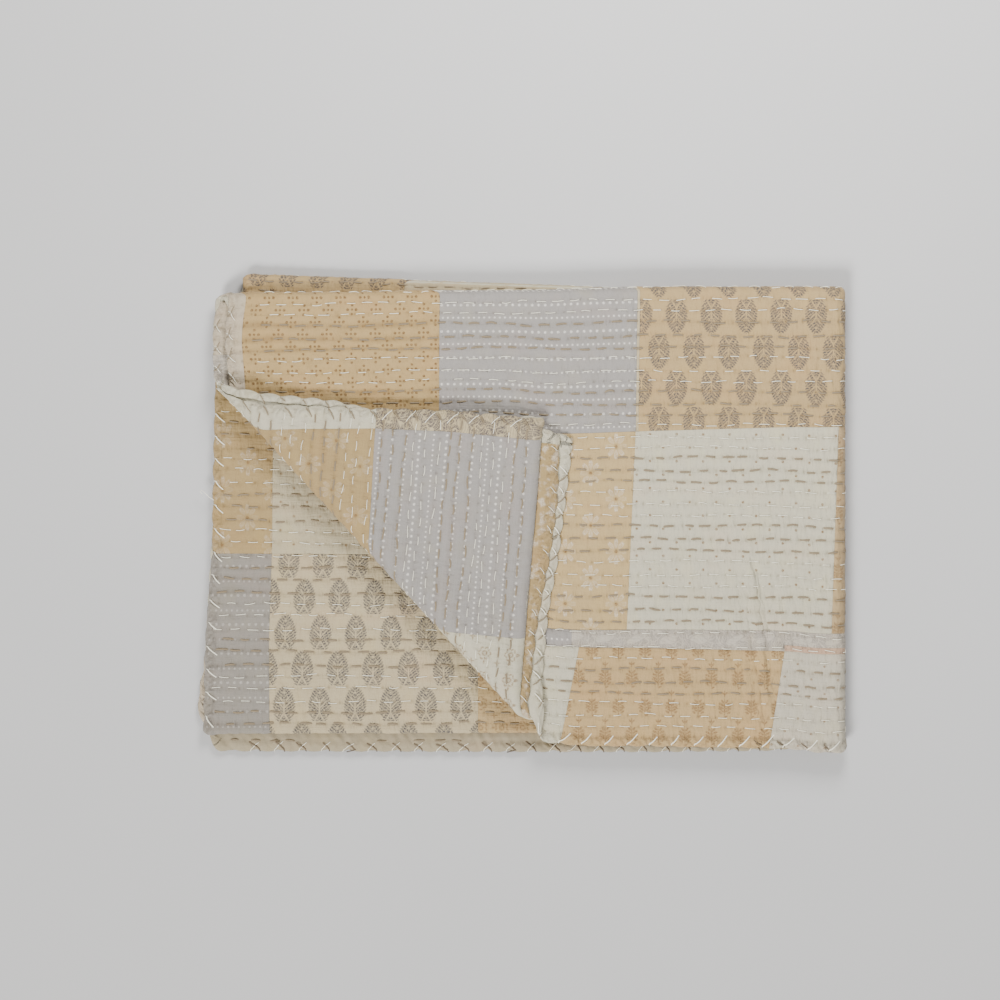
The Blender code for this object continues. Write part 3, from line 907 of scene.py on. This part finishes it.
# Rows of patches, from their least u. Before each patch, and after the last of its row, is its seam: u and
# v at the end with the lesser v, and at the other end. A patch is its name, its cotton, and the middle of
# one of its motifs, in millimetres on the cloth.
PATCH_ROWS = (
    # Over the far fold and along the top
    ((-0.0300, 1.2700, -0.0300, 1.4670), ("far_booti", "booti_beige", (175.0, 1360.4)),
     (0.2105, 1.2700, 0.2130, 1.4752), ("far_selvedge", "cream"),
     (0.2130, 1.2700, 0.2156, 1.4752), ("far_grey", "grey", (300.0, 1372.9)),
     (0.4118, 1.2700, 0.4138, 1.4780)),
    ((0.4118, 1.2700, 0.4138, 1.5300), ("far_dots", "dots_beige", (539.0, 1361.0)),
     (0.6110, 1.2700, 0.6145, 1.5300), ("far_border", "pale"),
     (END, 1.2700, END, 1.5300)),
    # The middle row of the top
    ((-0.0600, 1.4670, -0.0600, 1.6738), ("middle_edge", "sprigs_worn", (0.0, 1700.0)),
     (0.0125, 1.4684, 0.0195, 1.6738), ("middle_ivory", "ivory_dots", (108.4, 1518.6)),
     (0.2158, 1.4752, 0.2248, 1.6745), ("middle_flowers", "flowers", (235.5, 1489.9)),
     (0.3900, 1.4780, 0.3900, 1.6755)),
    ((-0.0300, 1.6738, -0.0300, 1.6880), ("strip_end", "scrolls_grey"),
     (0.0665, 1.6740, 0.0665, 1.6885)),
    ((0.0665, 1.6740, 0.0665, 1.6945), ("strip_floral", "scrolls_grey", (150.0, 1683.0)),
     (0.2800, 1.6751, 0.2800, 1.6922), ("strip_grey", "grey", (300.0, 1672.0)),
     (0.3600, 1.6755, 0.3600, 1.6935)),
    ((-0.0300, 1.6880, -0.0300, 1.6940), ("strip_peach", "peach"),
     (0.0665, 1.6885, 0.0665, 1.6945)),
    # The near row of the top
    ((-0.0300, 1.6940, -0.0300, LAST), ("near_ivory_dots", "ivory_near", (40.0, 1720.0)),
     (0.0665, 1.6945, 0.0822, LAST), ("near_sprigs", "sprigs", (219.8, 1723.9)),
     (0.2725, 1.6925, 0.2918, LAST), ("near_ivory", "ivory"),
     (0.3900, 1.6935, 0.3900, LAST)),
    # The turned corner
    ((0.2300, 0.8620, 0.2300, 1.0445), ("turned_rings", "rings_ivory", (388.2, 918.2)),
     (0.4050, 0.8620, 0.4070, 1.0445), ("turned_grey", "grey", (500.0, 892.0)),
     (0.6070, 0.8620, 0.6085, 1.0510), ("turned_floral", "scrolls_cream", (560.0, 960.0)),
     (END, 0.8620, END, 1.0520)),
    ((0.4070, 1.0445, 0.4070, 1.2500), ("turned_flowers", "flowers_low", (543.2, 1089.7)),
     (0.6085, 1.0510, 0.5985, 1.2500), ("turned_ivory", "ivory"),
     (END, 1.0520, END, 1.2500)),
    ((0.2000, 0.0000, 0.2000, 0.0220), ("turned_hem", "vines_beige"),
     (0.6140, 0.0000, 0.6140, 0.0220), ("turned_hem_end", "ivory"),
     (END, 0.0000, END, 0.0220)),
    # The next layer's end, beside the far left corner
    ((0.5950, 0.4475, 0.5950, 0.5030), ("edge_pale", "pale"),
     (END, 0.4475, END, 0.5030)),
    ((0.5950, 0.5030, 0.5950, 0.5440), ("edge_floral", "scrolls_grey", (610.0, 520.0)),
     (END, 0.5030, END, 0.5440)),
    # The lower layers that the turned corner bares
    ((-END, 0.8620, -END, 1.0560), ("lower_grey", "grey_low", (-600.0, 960.0)),
     (-0.5642, 0.8620, -0.5685, 1.0562), ("lower_booti", "booti_cream", (-550.9, 981.5)),
     (-0.3597, 0.8620, -0.3597, 1.0575), ("lower_rings", "rings_beige"),
     (-0.2000, 0.8620, -0.2000, 1.0575)),
    ((-END, 1.0560, -END, 1.2700), ("lower_flowers", "flowers_low", (-593.9, 1143.9)),
     (-0.5685, 1.0562, -0.5690, 1.2700), ("lower_ivory", "ivory_low", (-520.0, 1120.0)),
     (-0.4200, 1.0575, -0.4200, 1.2700)),
    ((-END, 0.0000, -END, 0.0220), ("lower_hem", "dull_cream"),
     (-0.0200, 0.0000, -0.0200, 0.0220)),
    ((-END, 0.0220, -END, 0.1950), ("lower_edge", "pale"),
     (-0.5950, 0.0220, -0.5950, 0.1950)),
    # Over the lower far fold and underneath
    ((-END, 1.2700, -END, 1.4700), ("under_booti", "booti_beige"),
     (-0.4397, 1.2700, -0.4397, 1.4700), ("under_cream", "cream"),
     (-0.2547, 1.2700, -0.2547, 1.4700), ("under_dots", "dots_beige"),
     (-0.0300, 1.2700, -0.0300, 1.4670)),
    ((-END, 1.4700, -END, 1.6735), ("under_grey", "grey"),
     (-0.4200, 1.4700, -0.4200, 1.6735), ("under_flowers", "flowers"),
     (-0.2547, 1.4700, -0.2300, 1.6735), ("under_ivory", "ivory_dots"),
     (-0.0600, 1.4670, -0.0600, 1.6735)),
    ((-END, 1.6735, -END, LAST), ("under_sprigs", "sprigs"),
     (-0.3400, 1.6735, -0.3400, LAST), ("under_near", "ivory"),
     (-0.0300, 1.6870, -0.0300, LAST)),
)
FINE_STEP = 0.0027                          # between the lines of a patch's grid
COARSE_STEP = 0.0060                        # of what only the floor sees
HEM_STEP, HEM_ZONE = 0.0017, 0.020          # closer lines by the cloth's edges, up to this far in
NARROW = 0.030                              # a patch narrower than this has hem steps throughout
NARROWEST = 0.009                           # and one below this has a single line beside each seam
SEAM_LINES = (0.0006, 0.0016, 0.0032)       # distances of the lines beside a seam
FOLD_LINE_COUNT, FOLD_CLEARANCE = 7, 0.0005
STRIDE = 4                                  # a patch's hidden underside has a coarser grid
SEAM_DEPTH, SEAM_WIDTH = 0.00045, 0.0018    # of the groove along a seam
SEAM_MARGIN = 0.003                         # the groove fades out over this much from the edges
UNDERSIDE = 0.45                            # height of a patch's underside, in half thicknesses


def patch_lines(start, stop, step, folds, edge):
    """Shares along a patch's side, finer at its seams, at the cloth's edge and round its tight folds."""
    length = stop - start
    seam = SEAM_LINES if length > NARROWEST else (length / 4,)
    near, far = start + seam[-1], stop - seam[-1]
    stops = [(near, step)]
    if length > 2 * HEM_ZONE and start <= edge[0]:
        stops = [(near, HEM_STEP), (start + HEM_ZONE, step)]
    if length > 2 * HEM_ZONE and stop >= edge[1]:
        stops.append((stop - HEM_ZONE, HEM_STEP))
    lines = [start, *(start + inset for inset in seam[:-1]), *graded(stops + [(far, step)])]
    lines += [*(stop - inset for inset in seam[:-1]), stop]
    for fold_start, fold_stop in folds:
        if start < fold_start and fold_stop < stop:
            lines = [line for line in lines
                     if not fold_start - FOLD_CLEARANCE < line < fold_stop + FOLD_CLEARANCE]
            lines += list(np.linspace(fold_start, fold_stop, FOLD_LINE_COUNT))
    lines = sorted((line - start) / length for line in lines)
    while (len(lines) - 1) % STRIDE:
        widest = int(np.argmax(np.diff(lines)))
        lines.insert(widest + 1, (lines[widest] + lines[widest + 1]) / 2)
    return np.array(lines)


def patch_grid(first_seam, last_seam, coarse):
    """Places of a patch's grid on the cloth, and their distances from its nearest seam."""
    (u0, v0, u3, v3), (u1, v1, u2, v2) = first_seam, last_seam
    wide, high = max(u1 - u0, u2 - u3), max(v3 - v0, v2 - v1)
    step = COARSE_STEP if coarse else HEM_STEP if min(wide, high) < NARROW else FINE_STEP
    folds = [(QUARTER_STARTS[k] - FOLD_WIDTHS[k - 1], QUARTER_STARTS[k]) for k in (1, 2)]
    s, t = np.meshgrid(patch_lines(u0, u0 + wide, step, (), (-END, END)),
                       patch_lines(v0, v0 + high, step, folds, (0.0, LAST)), indexing="ij")
    u = (1 - s) * (1 - t) * u0 + s * (1 - t) * u1 + s * t * u2 + (1 - s) * t * u3
    v = (1 - s) * (1 - t) * v0 + s * (1 - t) * v1 + s * t * v2 + (1 - s) * t * v3
    seam = np.minimum(np.minimum(s, 1 - s) * wide, np.minimum(t, 1 - t) * high)
    # The cloth's own edges are no seams
    return u, v, np.where(hem_distance(u, v) < seam + 1e-6, HEM_ZONE, seam)


def sew_patch(first_seam, last_seam, name, cotton_name, motif=(0.0, 0.0)):
    """Lay one patch on the cloth: a top with its relief, and a coarser underside just below it."""
    u, v, seam = patch_grid(first_seam, last_seam, name.startswith("under") and name != "under_booti")
    fade = smooth_step(hem_distance(u, v) / SEAM_MARGIN)
    groove = SEAM_DEPTH * np.exp(-(seam / SEAM_WIDTH) ** 2) * fade
    upper = place(u, v, cloth_top(u, v) - groove)
    coarse = (slice(None, None, STRIDE),) * 2
    lower = place(u[coarse], v[coarse], half_thickness(u[coarse], v[coarse]) * UNDERSIDE)
    top_numbers = np.arange(u.size).reshape(u.shape)
    low_numbers = u.size + np.arange(lower[..., 0].size).reshape(lower.shape[:2])
    faces = grid_faces(top_numbers) + grid_faces(low_numbers, flip=True)
    # Close its four sides, with a few of the top's points to each of the underside's
    onward, back = slice(None), slice(None, None, -1)
    for side in ((onward, 0), (-1, onward), (back, -1), (0, back)):
        fine_edge, low_edge = top_numbers[side], low_numbers[side]
        for k in range(len(low_edge) - 1):
            fine_part = fine_edge[STRIDE * k:STRIDE * (k + 1) + 1][::-1]
            faces.append([int(number) for number in (low_edge[k], low_edge[k + 1], *fine_part)])
    points = np.concatenate((upper.reshape(-1, 3), lower.reshape(-1, 3)))
    all_u, all_v = (np.concatenate((values.ravel(), values[coarse].ravel())) for values in (u, v))
    patch = add_mesh(f"patch_{name}", points, faces, cloth_maps(all_u, all_v, motif))
    patch.data.materials.append(cottons[cotton_name])
    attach(patch, "root")


for patch_row in PATCH_ROWS:
    for first_seam, patch, last_seam in zip(patch_row[0::2], patch_row[1::2], patch_row[2::2]):
        sew_patch(first_seam, last_seam, *patch)


# ======================================================================================================
# The running stitches
# Cotton thread, sewn by hand through all the cloths in rows about 12 mm apart, three rows of white and
# three of tan in turn. Each stitch lies on the patchwork and dives through it at both ends.
# ======================================================================================================
def thread_tree():
    """Build the nodes that give a sewn path its thread."""
    tree = bpy.data.node_groups.new("thread on its path", "GeometryNodeTree")
    for name, kind in (("Paths", "Geometry"), ("Thread Radius", "Float"), ("Sides", "Int"),
                       ("Thread", "Material")):
        tree.interface.new_socket(name, in_out="INPUT", socket_type=f"NodeSocket{kind}")
    tree.interface.new_socket("Geometry", in_out="OUTPUT", socket_type="NodeSocketGeometry")
    nodes, links = tree.nodes, tree.links
    given, made = nodes.new("NodeGroupInput"), nodes.new("NodeGroupOutput")
    curve = nodes.new("GeometryNodeMeshToCurve")
    circle = nodes.new("GeometryNodeCurvePrimitiveCircle")
    sweep = nodes.new("GeometryNodeCurveToMesh")
    smooth = nodes.new("GeometryNodeSetShadeSmooth")
    realize = nodes.new("GeometryNodeRealizeInstances")
    paint = nodes.new("GeometryNodeSetMaterial")
    sweep.inputs["Fill Caps"].default_value = True
    links.new(given.outputs["Paths"], curve.inputs["Mesh"])
    links.new(given.outputs["Thread Radius"], circle.inputs["Radius"])
    links.new(given.outputs["Sides"], circle.inputs["Resolution"])
    links.new(curve.outputs["Curve"], sweep.inputs["Curve"])
    links.new(circle.outputs["Curve"], sweep.inputs["Profile Curve"])
    links.new(sweep.outputs["Mesh"], smooth.inputs["Geometry"])
    links.new(smooth.outputs["Geometry"], realize.inputs["Geometry"])
    links.new(realize.outputs["Geometry"], paint.inputs["Geometry"])
    links.new(given.outputs["Thread"], paint.inputs["Material"])
    links.new(paint.outputs["Geometry"], made.inputs["Geometry"])
    return tree


def object_noise(tree, scale):
    """Soft random values over the places on a piece."""
    where = tree.nodes.new("ShaderNodeTexCoord")
    node = tree.nodes.new("ShaderNodeTexNoise")
    node.inputs["Scale"].default_value = scale
    tree.links.new(where.outputs["Object"], node.inputs["Vector"])
    return Value(tree, node.outputs["Fac"])


def cotton_thread(name, colour):
    """A matt cotton thread: twisted strands, a little uneven in colour."""
    material = bpy.data.materials.new(name)
    material.use_nodes = True
    tree = material.node_tree
    strands, dyed = object_noise(tree, 1400.0), object_noise(tree, 60.0)
    dark, pale = (tinted(colour, (share,) * 3) for share in (0.88, 1.10))
    shade = mixed(tree, dyed * 0.6 + strands * 0.4, dark, pale)
    finish_cotton(tree, shade, dyed * 0.15 + 0.62, strands, 0.3 / MM, 0.6, 0.3, 0.2)
    return material


THREAD = thread_tree()
THREAD_SIDES = 5
threads = {"white": cotton_thread("white thread", (1.00, 0.92, 0.76)),
           "tan": cotton_thread("tan thread", (0.258, 0.198, 0.122)),
           "brown": cotton_thread("brown thread", (0.150, 0.106, 0.064))}


def sew(name, paths, thread, radius):
    """Turn sewn paths, each a row of points, into one piece of thread."""
    per = paths.shape[1]
    starts = np.arange(len(paths))[:, None] * per + np.arange(per - 1)[None, :]
    edges = np.stack((starts.ravel(), starts.ravel() + 1), axis=-1).tolist()
    mesh = bpy.data.meshes.new(name)
    mesh.from_pydata(paths.reshape(-1, 3).tolist(), edges, [])
    piece = bpy.data.objects.new(name, mesh)
    bpy.context.scene.collection.objects.link(piece)
    modifier = piece.modifiers.new("thread", "NODES")
    modifier.node_group = THREAD
    sockets = {item.name: item.identifier for item in THREAD.interface.items_tree if item.in_out == "INPUT"}
    modifier[sockets["Thread Radius"]] = radius
    modifier[sockets["Sides"]] = THREAD_SIDES
    modifier[sockets["Thread"]] = threads[thread]
    graph = bpy.context.evaluated_depsgraph_get()
    made = bpy.data.meshes.new_from_object(piece.evaluated_get(graph))
    for vertex in made.vertices:            # the floor presses the thread flat
        vertex.co.z = max(vertex.co.z, 0.0)
    piece.modifiers.clear()
    piece.data = made
    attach(piece, "root")


# How unevenly a hand sews: in each stitch's start, length, stray from its row, slant and bow
UNEVEN_START, UNEVEN_LENGTH = 0.0011, 0.0012
UNEVEN_PLACE = (0.0004, 0.00028, 0.00035)
LEFT_OUT = 0.012                            # share of the stitches that are missing
HEM_MARGIN = 0.006                          # the rows stop this far from the edges
ALONG_STITCH = np.array((0.0, 0.08, 0.28, 0.5, 0.72, 0.92, 1.0))


def running_stitches(u_range, v_range, seed, keep=None, kinds=("white", "tan")):
    """Lay running stitches over part of the cloth; returns the white and the tan ones as (u, v).

    keep picks out the stitches to lay, and kinds gives the threads of the even and the odd groups of rows.
    """
    draw = np.random.default_rng(seed)
    found = {"white": [], "tan": []}
    first = int(math.floor(row_number(u_range[0], v_range[0]))) - 1
    last = int(math.ceil(row_number(u_range[0], v_range[1]))) + 1
    for row in range(first, last + 1):
        phase = (row * GOLDEN) % 1.0
        for n in range(int(u_range[0] / STITCH_PITCH) - 2, int(u_range[1] / STITCH_PITCH) + 3):
            start = (n - phase) * STITCH_PITCH + draw.normal(0, UNEVEN_START)
            u = start + ALONG_STITCH * (STITCH + draw.normal(0, UNEVEN_LENGTH))
            stray, tilt, bow = draw.normal(0, UNEVEN_PLACE)
            v = FIRST_ROW + row * ROW_PITCH + row_wander(row, u) + stray + tilt * (2 * ALONG_STITCH - 1)
            v = v + bow * np.sin(math.pi * ALONG_STITCH)
            inside = (u_range[0] < u[0] and u[-1] < u_range[1] and v_range[0] < v.min()
                      and v.max() < v_range[1] and hem_distance(u, v).min() > HEM_MARGIN)
            if inside and draw.random() > LEFT_OUT:
                found[kinds[(row // 3) % 2]].append((u, v))
    for kind in [kind for kind in found if not found[kind]]:
        del found[kind]
    for kind, stitches in found.items():
        stitches = np.array(stitches).transpose(1, 0, 2)
        found[kind] = stitches if keep is None else stitches[:, keep(stitches[0], stitches[1])]
    return found


TURNED_REACH = UPPER_LINES[6, 2]            # from the far folds to the near ones, by the turned corner
TURN_MARGIN = 0.004                         # the stitches on it stay this far from its fold line


def turned_part(u, v):
    """True for the stitches that are on the turned corner."""
    across = (v[:, 2] - QUARTER_STARTS[2]) / QUARTER_WIDTHS[2]
    y = -TURNED_REACH + across * TURNED_REACH
    _, outward, axis, _ = turn_frame()
    return (-(u[:, 2] - SHEET) - axis[0]) * outward[0] + (y - axis[1]) * outward[1] > TURN_MARGIN


# Where the rows are: from and to along u and v, the seed, and what else running_stitches takes
regions = {
    "top": ((-0.030, 0.604), (1.325, 1.779), 21),
    "turned": ((0.200, 0.626), (0.872, 1.250), 22, turned_part),
    "lower": ((-0.626, -0.230), (0.872, 1.250), 23),
    "far": ((-0.626, -0.200), (1.296, 1.334), 24),
    "hem": ((-0.615, -0.030), (0.0095, 0.0200), 25, None, ("tan", "white")),
}
# The white thread is fine and lies proud; the tan one is thicker, and sunk in the cloth to its middle
laid = {"white": (0.00037, np.array((-0.0006, 0.0002, 0.00045, 0.0005, 0.00045, 0.0002, -0.0006))),
        "tan": (0.00098, np.array((-0.0009, -0.0002, 0.00002, 0.00008, 0.00002, -0.0002, -0.0009)))}
for region, where in regions.items():
    for kind, (u, v) in running_stitches(*where).items():
        radius, lift = laid[kind]
        sew(f"running_{kind}_{region}", place(u, v, cloth_top(u, v) + lift), kind, radius)


# ======================================================================================================
# The hem stitches
# The same threads whip the quilt's hems: long slanted stitches that go over the edge and through the
# cloth, and cross each other on some hems.
# ======================================================================================================
# A whip stitch's points, from its far end in the cloth, over the edge and under: its way in as a share
# of its depth and on its own, its way along as a share of its lean, the face it is on (1 the patchwork,
# -1 the back), and how proud of that face it lies
IN_SHARE = np.array((1.0, 0.92, 0.70, 0.48, 0.26, 0.0, 0.0, 0.0, 0.0))
IN_REST = np.array((0.0, 0.0, 0.0, 0.0, 0.0, 0.0014, -0.0005, 0.0014, 0.0045))
ALONG_WHIP = np.array((1.0, 0.92, 0.70, 0.48, 0.26, 0.08, 0.0, -0.02, -0.10))
WHIP_FACE = np.array((1, 1, 1, 1, 1, 1, 0, -1, -1))
WHIP_LIFT = np.array((-0.0006, 0.0002, 0.0005, 0.0006, 0.0006, 0.0004, 0.0, 0.0004, -0.0002))
UNEVEN_WHIP, UNEVEN_DEPTH, UNEVEN_LEAN = 0.0010, 0.10, 0.15


def whip(side, start, stop, lean, depth, seed, cross=0.0, back=False):
    """Paths of whip stitches over an edge: the ends at u = +-END, or the hems at v = 0 and LAST.

    lean is how far along the edge a stitch moves on its way in, and cross is the share of that which lies
    behind the place where it goes over the edge. back turns the stitches' long legs to the plain back.
    """
    draw = np.random.default_rng(seed)
    paths = []
    for place_along in at_stitches(start, stop):
        centre = place_along + draw.normal(0, UNEVEN_WHIP)
        reach, slant = depth * (1 + draw.normal(0, UNEVEN_DEPTH)), lean * (1 + draw.normal(0, UNEVEN_LEAN))
        paths.append((centre + slant * (ALONG_WHIP - cross), reach * IN_SHARE + IN_REST))
    way, inset = np.array(paths).transpose(1, 0, 2)
    if side in ("first", "last"):
        u, v = way, (inset if side == "first" else LAST - inset)
    else:
        u, v = (END - inset if side == "upper" else inset - END), way
    height = np.where(WHIP_FACE > 0, cloth_top(u, v) + WHIP_LIFT, -half_thickness(u, v) - WHIP_LIFT)
    height = np.where(WHIP_FACE == 0, 0.0, height)
    return place(u, v, -height if back else height)


# Each row: its name and thread, what whip takes, and the thread's radius
hem_rows = (
    # The hems on top
    ("near_hem", "white", ("last", 0.010, 0.300, -0.010, 0.012, 31), 0.00070),
    ("near_hem_brown", "brown", ("last", 0.010, 0.105, 0.008, 0.009, 47), 0.00050),
    ("upper_end_white", "white", ("upper", 1.335, 1.440, 0.010, 0.009, 32, 0.3), 0.00040),
    ("upper_end_tan", "tan", ("upper", 1.335, 1.440, -0.010, 0.007, 33, 0.3), 0.00055),
    ("upper_next_end_white", "white", ("upper", 0.455, 0.550, 0.008, 0.008, 44, 0.3), 0.00038),
    ("upper_next_end_tan", "tan", ("upper", 0.455, 0.550, -0.008, 0.007, 45, 0.3), 0.00055),
    # The lower layers' hems
    ("lower_end", "white", ("lower", 0.885, 1.270, -0.008, 0.012, 34), 0.00066),
    ("lower_first_hem_tan", "brown", ("first", -0.605, -0.030, -0.009, 0.009, 35, 0.5), 0.00068),
    ("lower_first_hem_white", "white", ("first", -0.605, -0.030, 0.009, 0.009, 36, 0.5), 0.00036),
    ("lower_next_end", "tan", ("lower", 0.030, 0.180, 0.006, 0.008, 46), 0.00060),
    # The turned corner's hems
    ("turned_first_hem", "white", ("first", 0.300, 0.610, 0.006, 0.009, 37), 0.00034),
    ("turned_last_hem_white", "white", ("last", 0.300, 0.600, 0.008, 0.010, 39, 0.0, True), 0.00060),
    ("turned_last_hem_tan", "tan", ("last", 0.300, 0.600, -0.008, 0.010, 40, 0.0, True), 0.00060),
    ("turned_end_tan", "tan", ("upper", 0.890, 1.200, -0.008, 0.012, 41), 0.00055),
    ("turned_end_white", "white", ("upper", 0.890, 1.050, 0.010, 0.013, 42), 0.00040),
    ("turned_second_end_tan", "tan", ("upper", 0.580, 0.690, 0.008, 0.012, 43, 0.0, True), 0.00055),
)
for hem_name, thread, places, radius in hem_rows:
    sew(f"whip_{hem_name}", whip(*places), thread, radius)

# A loose end of thread at the left-hand hem, that curls off the quilt
LOOSE_ROOT = (-0.6280, 1.1070, 0.0005)      # u, v and w of the place where it leaves the hem
LOOSE_CURL = ((0.0020, -0.0010, 0.0000), (-0.0020, 0.0010, 0.0010), (-0.0060, 0.0035, 0.0012),
              (-0.0100, 0.0075, 0.0010), (-0.0135, 0.0105, 0.0004), (-0.0150, 0.0085, -0.0004),
              (-0.0128, 0.0066, -0.0006))
loose_end = place(*LOOSE_ROOT) + np.array(LOOSE_CURL)
sew("loose_end", loose_end[np.newaxis], "white", 0.00036)


# ======================================================================================================
# The floor, the light and the camera
# A plain pale floor, lit by a large soft lamp in front of the quilt, a small one close behind it, and even
# light all round. The camera looks straight down on the quilt.
# ======================================================================================================
FLOOR_REACH = 4.0
FLOOR_DARK, FLOOR_PALE = (0.555, 0.550, 0.545), (0.590, 0.585, 0.580)
floor_mesh = bpy.data.meshes.new("floor")
floor_corners = [(x * FLOOR_REACH, y * FLOOR_REACH, 0) for x, y in ((-1, -1), (1, -1), (1, 1), (-1, 1))]
floor_mesh.from_pydata(floor_corners, [], [(0, 1, 2, 3)])
floor = bpy.data.objects.new("floor", floor_mesh)
bpy.context.scene.collection.objects.link(floor)
floor_paint = bpy.data.materials.new("pale floor")
floor_paint.use_nodes = True
paint_tree = floor_paint.node_tree
floor_shader = paint_tree.nodes["Principled BSDF"]
floor_shade = mixed(paint_tree, object_noise(paint_tree, 3.0), FLOOR_DARK, FLOOR_PALE)
paint_tree.links.new(floor_shade, floor_shader.inputs["Base Color"])
floor_shader.inputs["Roughness"].default_value = 0.7
floor.data.materials.append(floor_paint)


def soft_light(name, hung_at, size, power):
    """Hang a large square lamp that points at the middle of the floor."""
    lamp = bpy.data.lights.new(name, "AREA")
    lamp.shape, lamp.size, lamp.energy = "SQUARE", size, power
    light = bpy.data.objects.new(name, lamp)
    light.location = hung_at
    x, y, z = hung_at
    tip = math.acos(z / np.linalg.norm(hung_at))
    light.rotation_euler = (tip, 0.0, math.atan2(y, x) + math.pi / 2)
    bpy.context.scene.collection.objects.link(light)


soft_light("key", (-5.2, -10.4, 9.2), 4.4, 3205.0)
soft_light("fill", (0.25, 1.08, 0.95), 0.6, 23.5)
world = bpy.data.worlds.new("studio")
world.use_nodes = True
background = world.node_tree.nodes["Background"]
background.inputs["Color"].default_value = (1.0, 0.985, 0.965, 1.0)
background.inputs["Strength"].default_value = 0.446
bpy.context.scene.world = world

LENS, SENSOR = 120.0, 36.0                  # millimetres
VIEW_WIDTH, QUILT_HEIGHT = 1.0, 0.030       # the camera takes in a square this wide, at this height
camera_data = bpy.data.cameras.new("camera")
camera_data.lens, camera_data.sensor_width = LENS, SENSOR
camera_data.clip_end = 20.0
camera = bpy.data.objects.new("camera", camera_data)
camera.location = (-0.02393, 0.01207, QUILT_HEIGHT + VIEW_WIDTH * LENS / SENSOR)
bpy.context.scene.collection.objects.link(camera)
bpy.context.scene.camera = camera
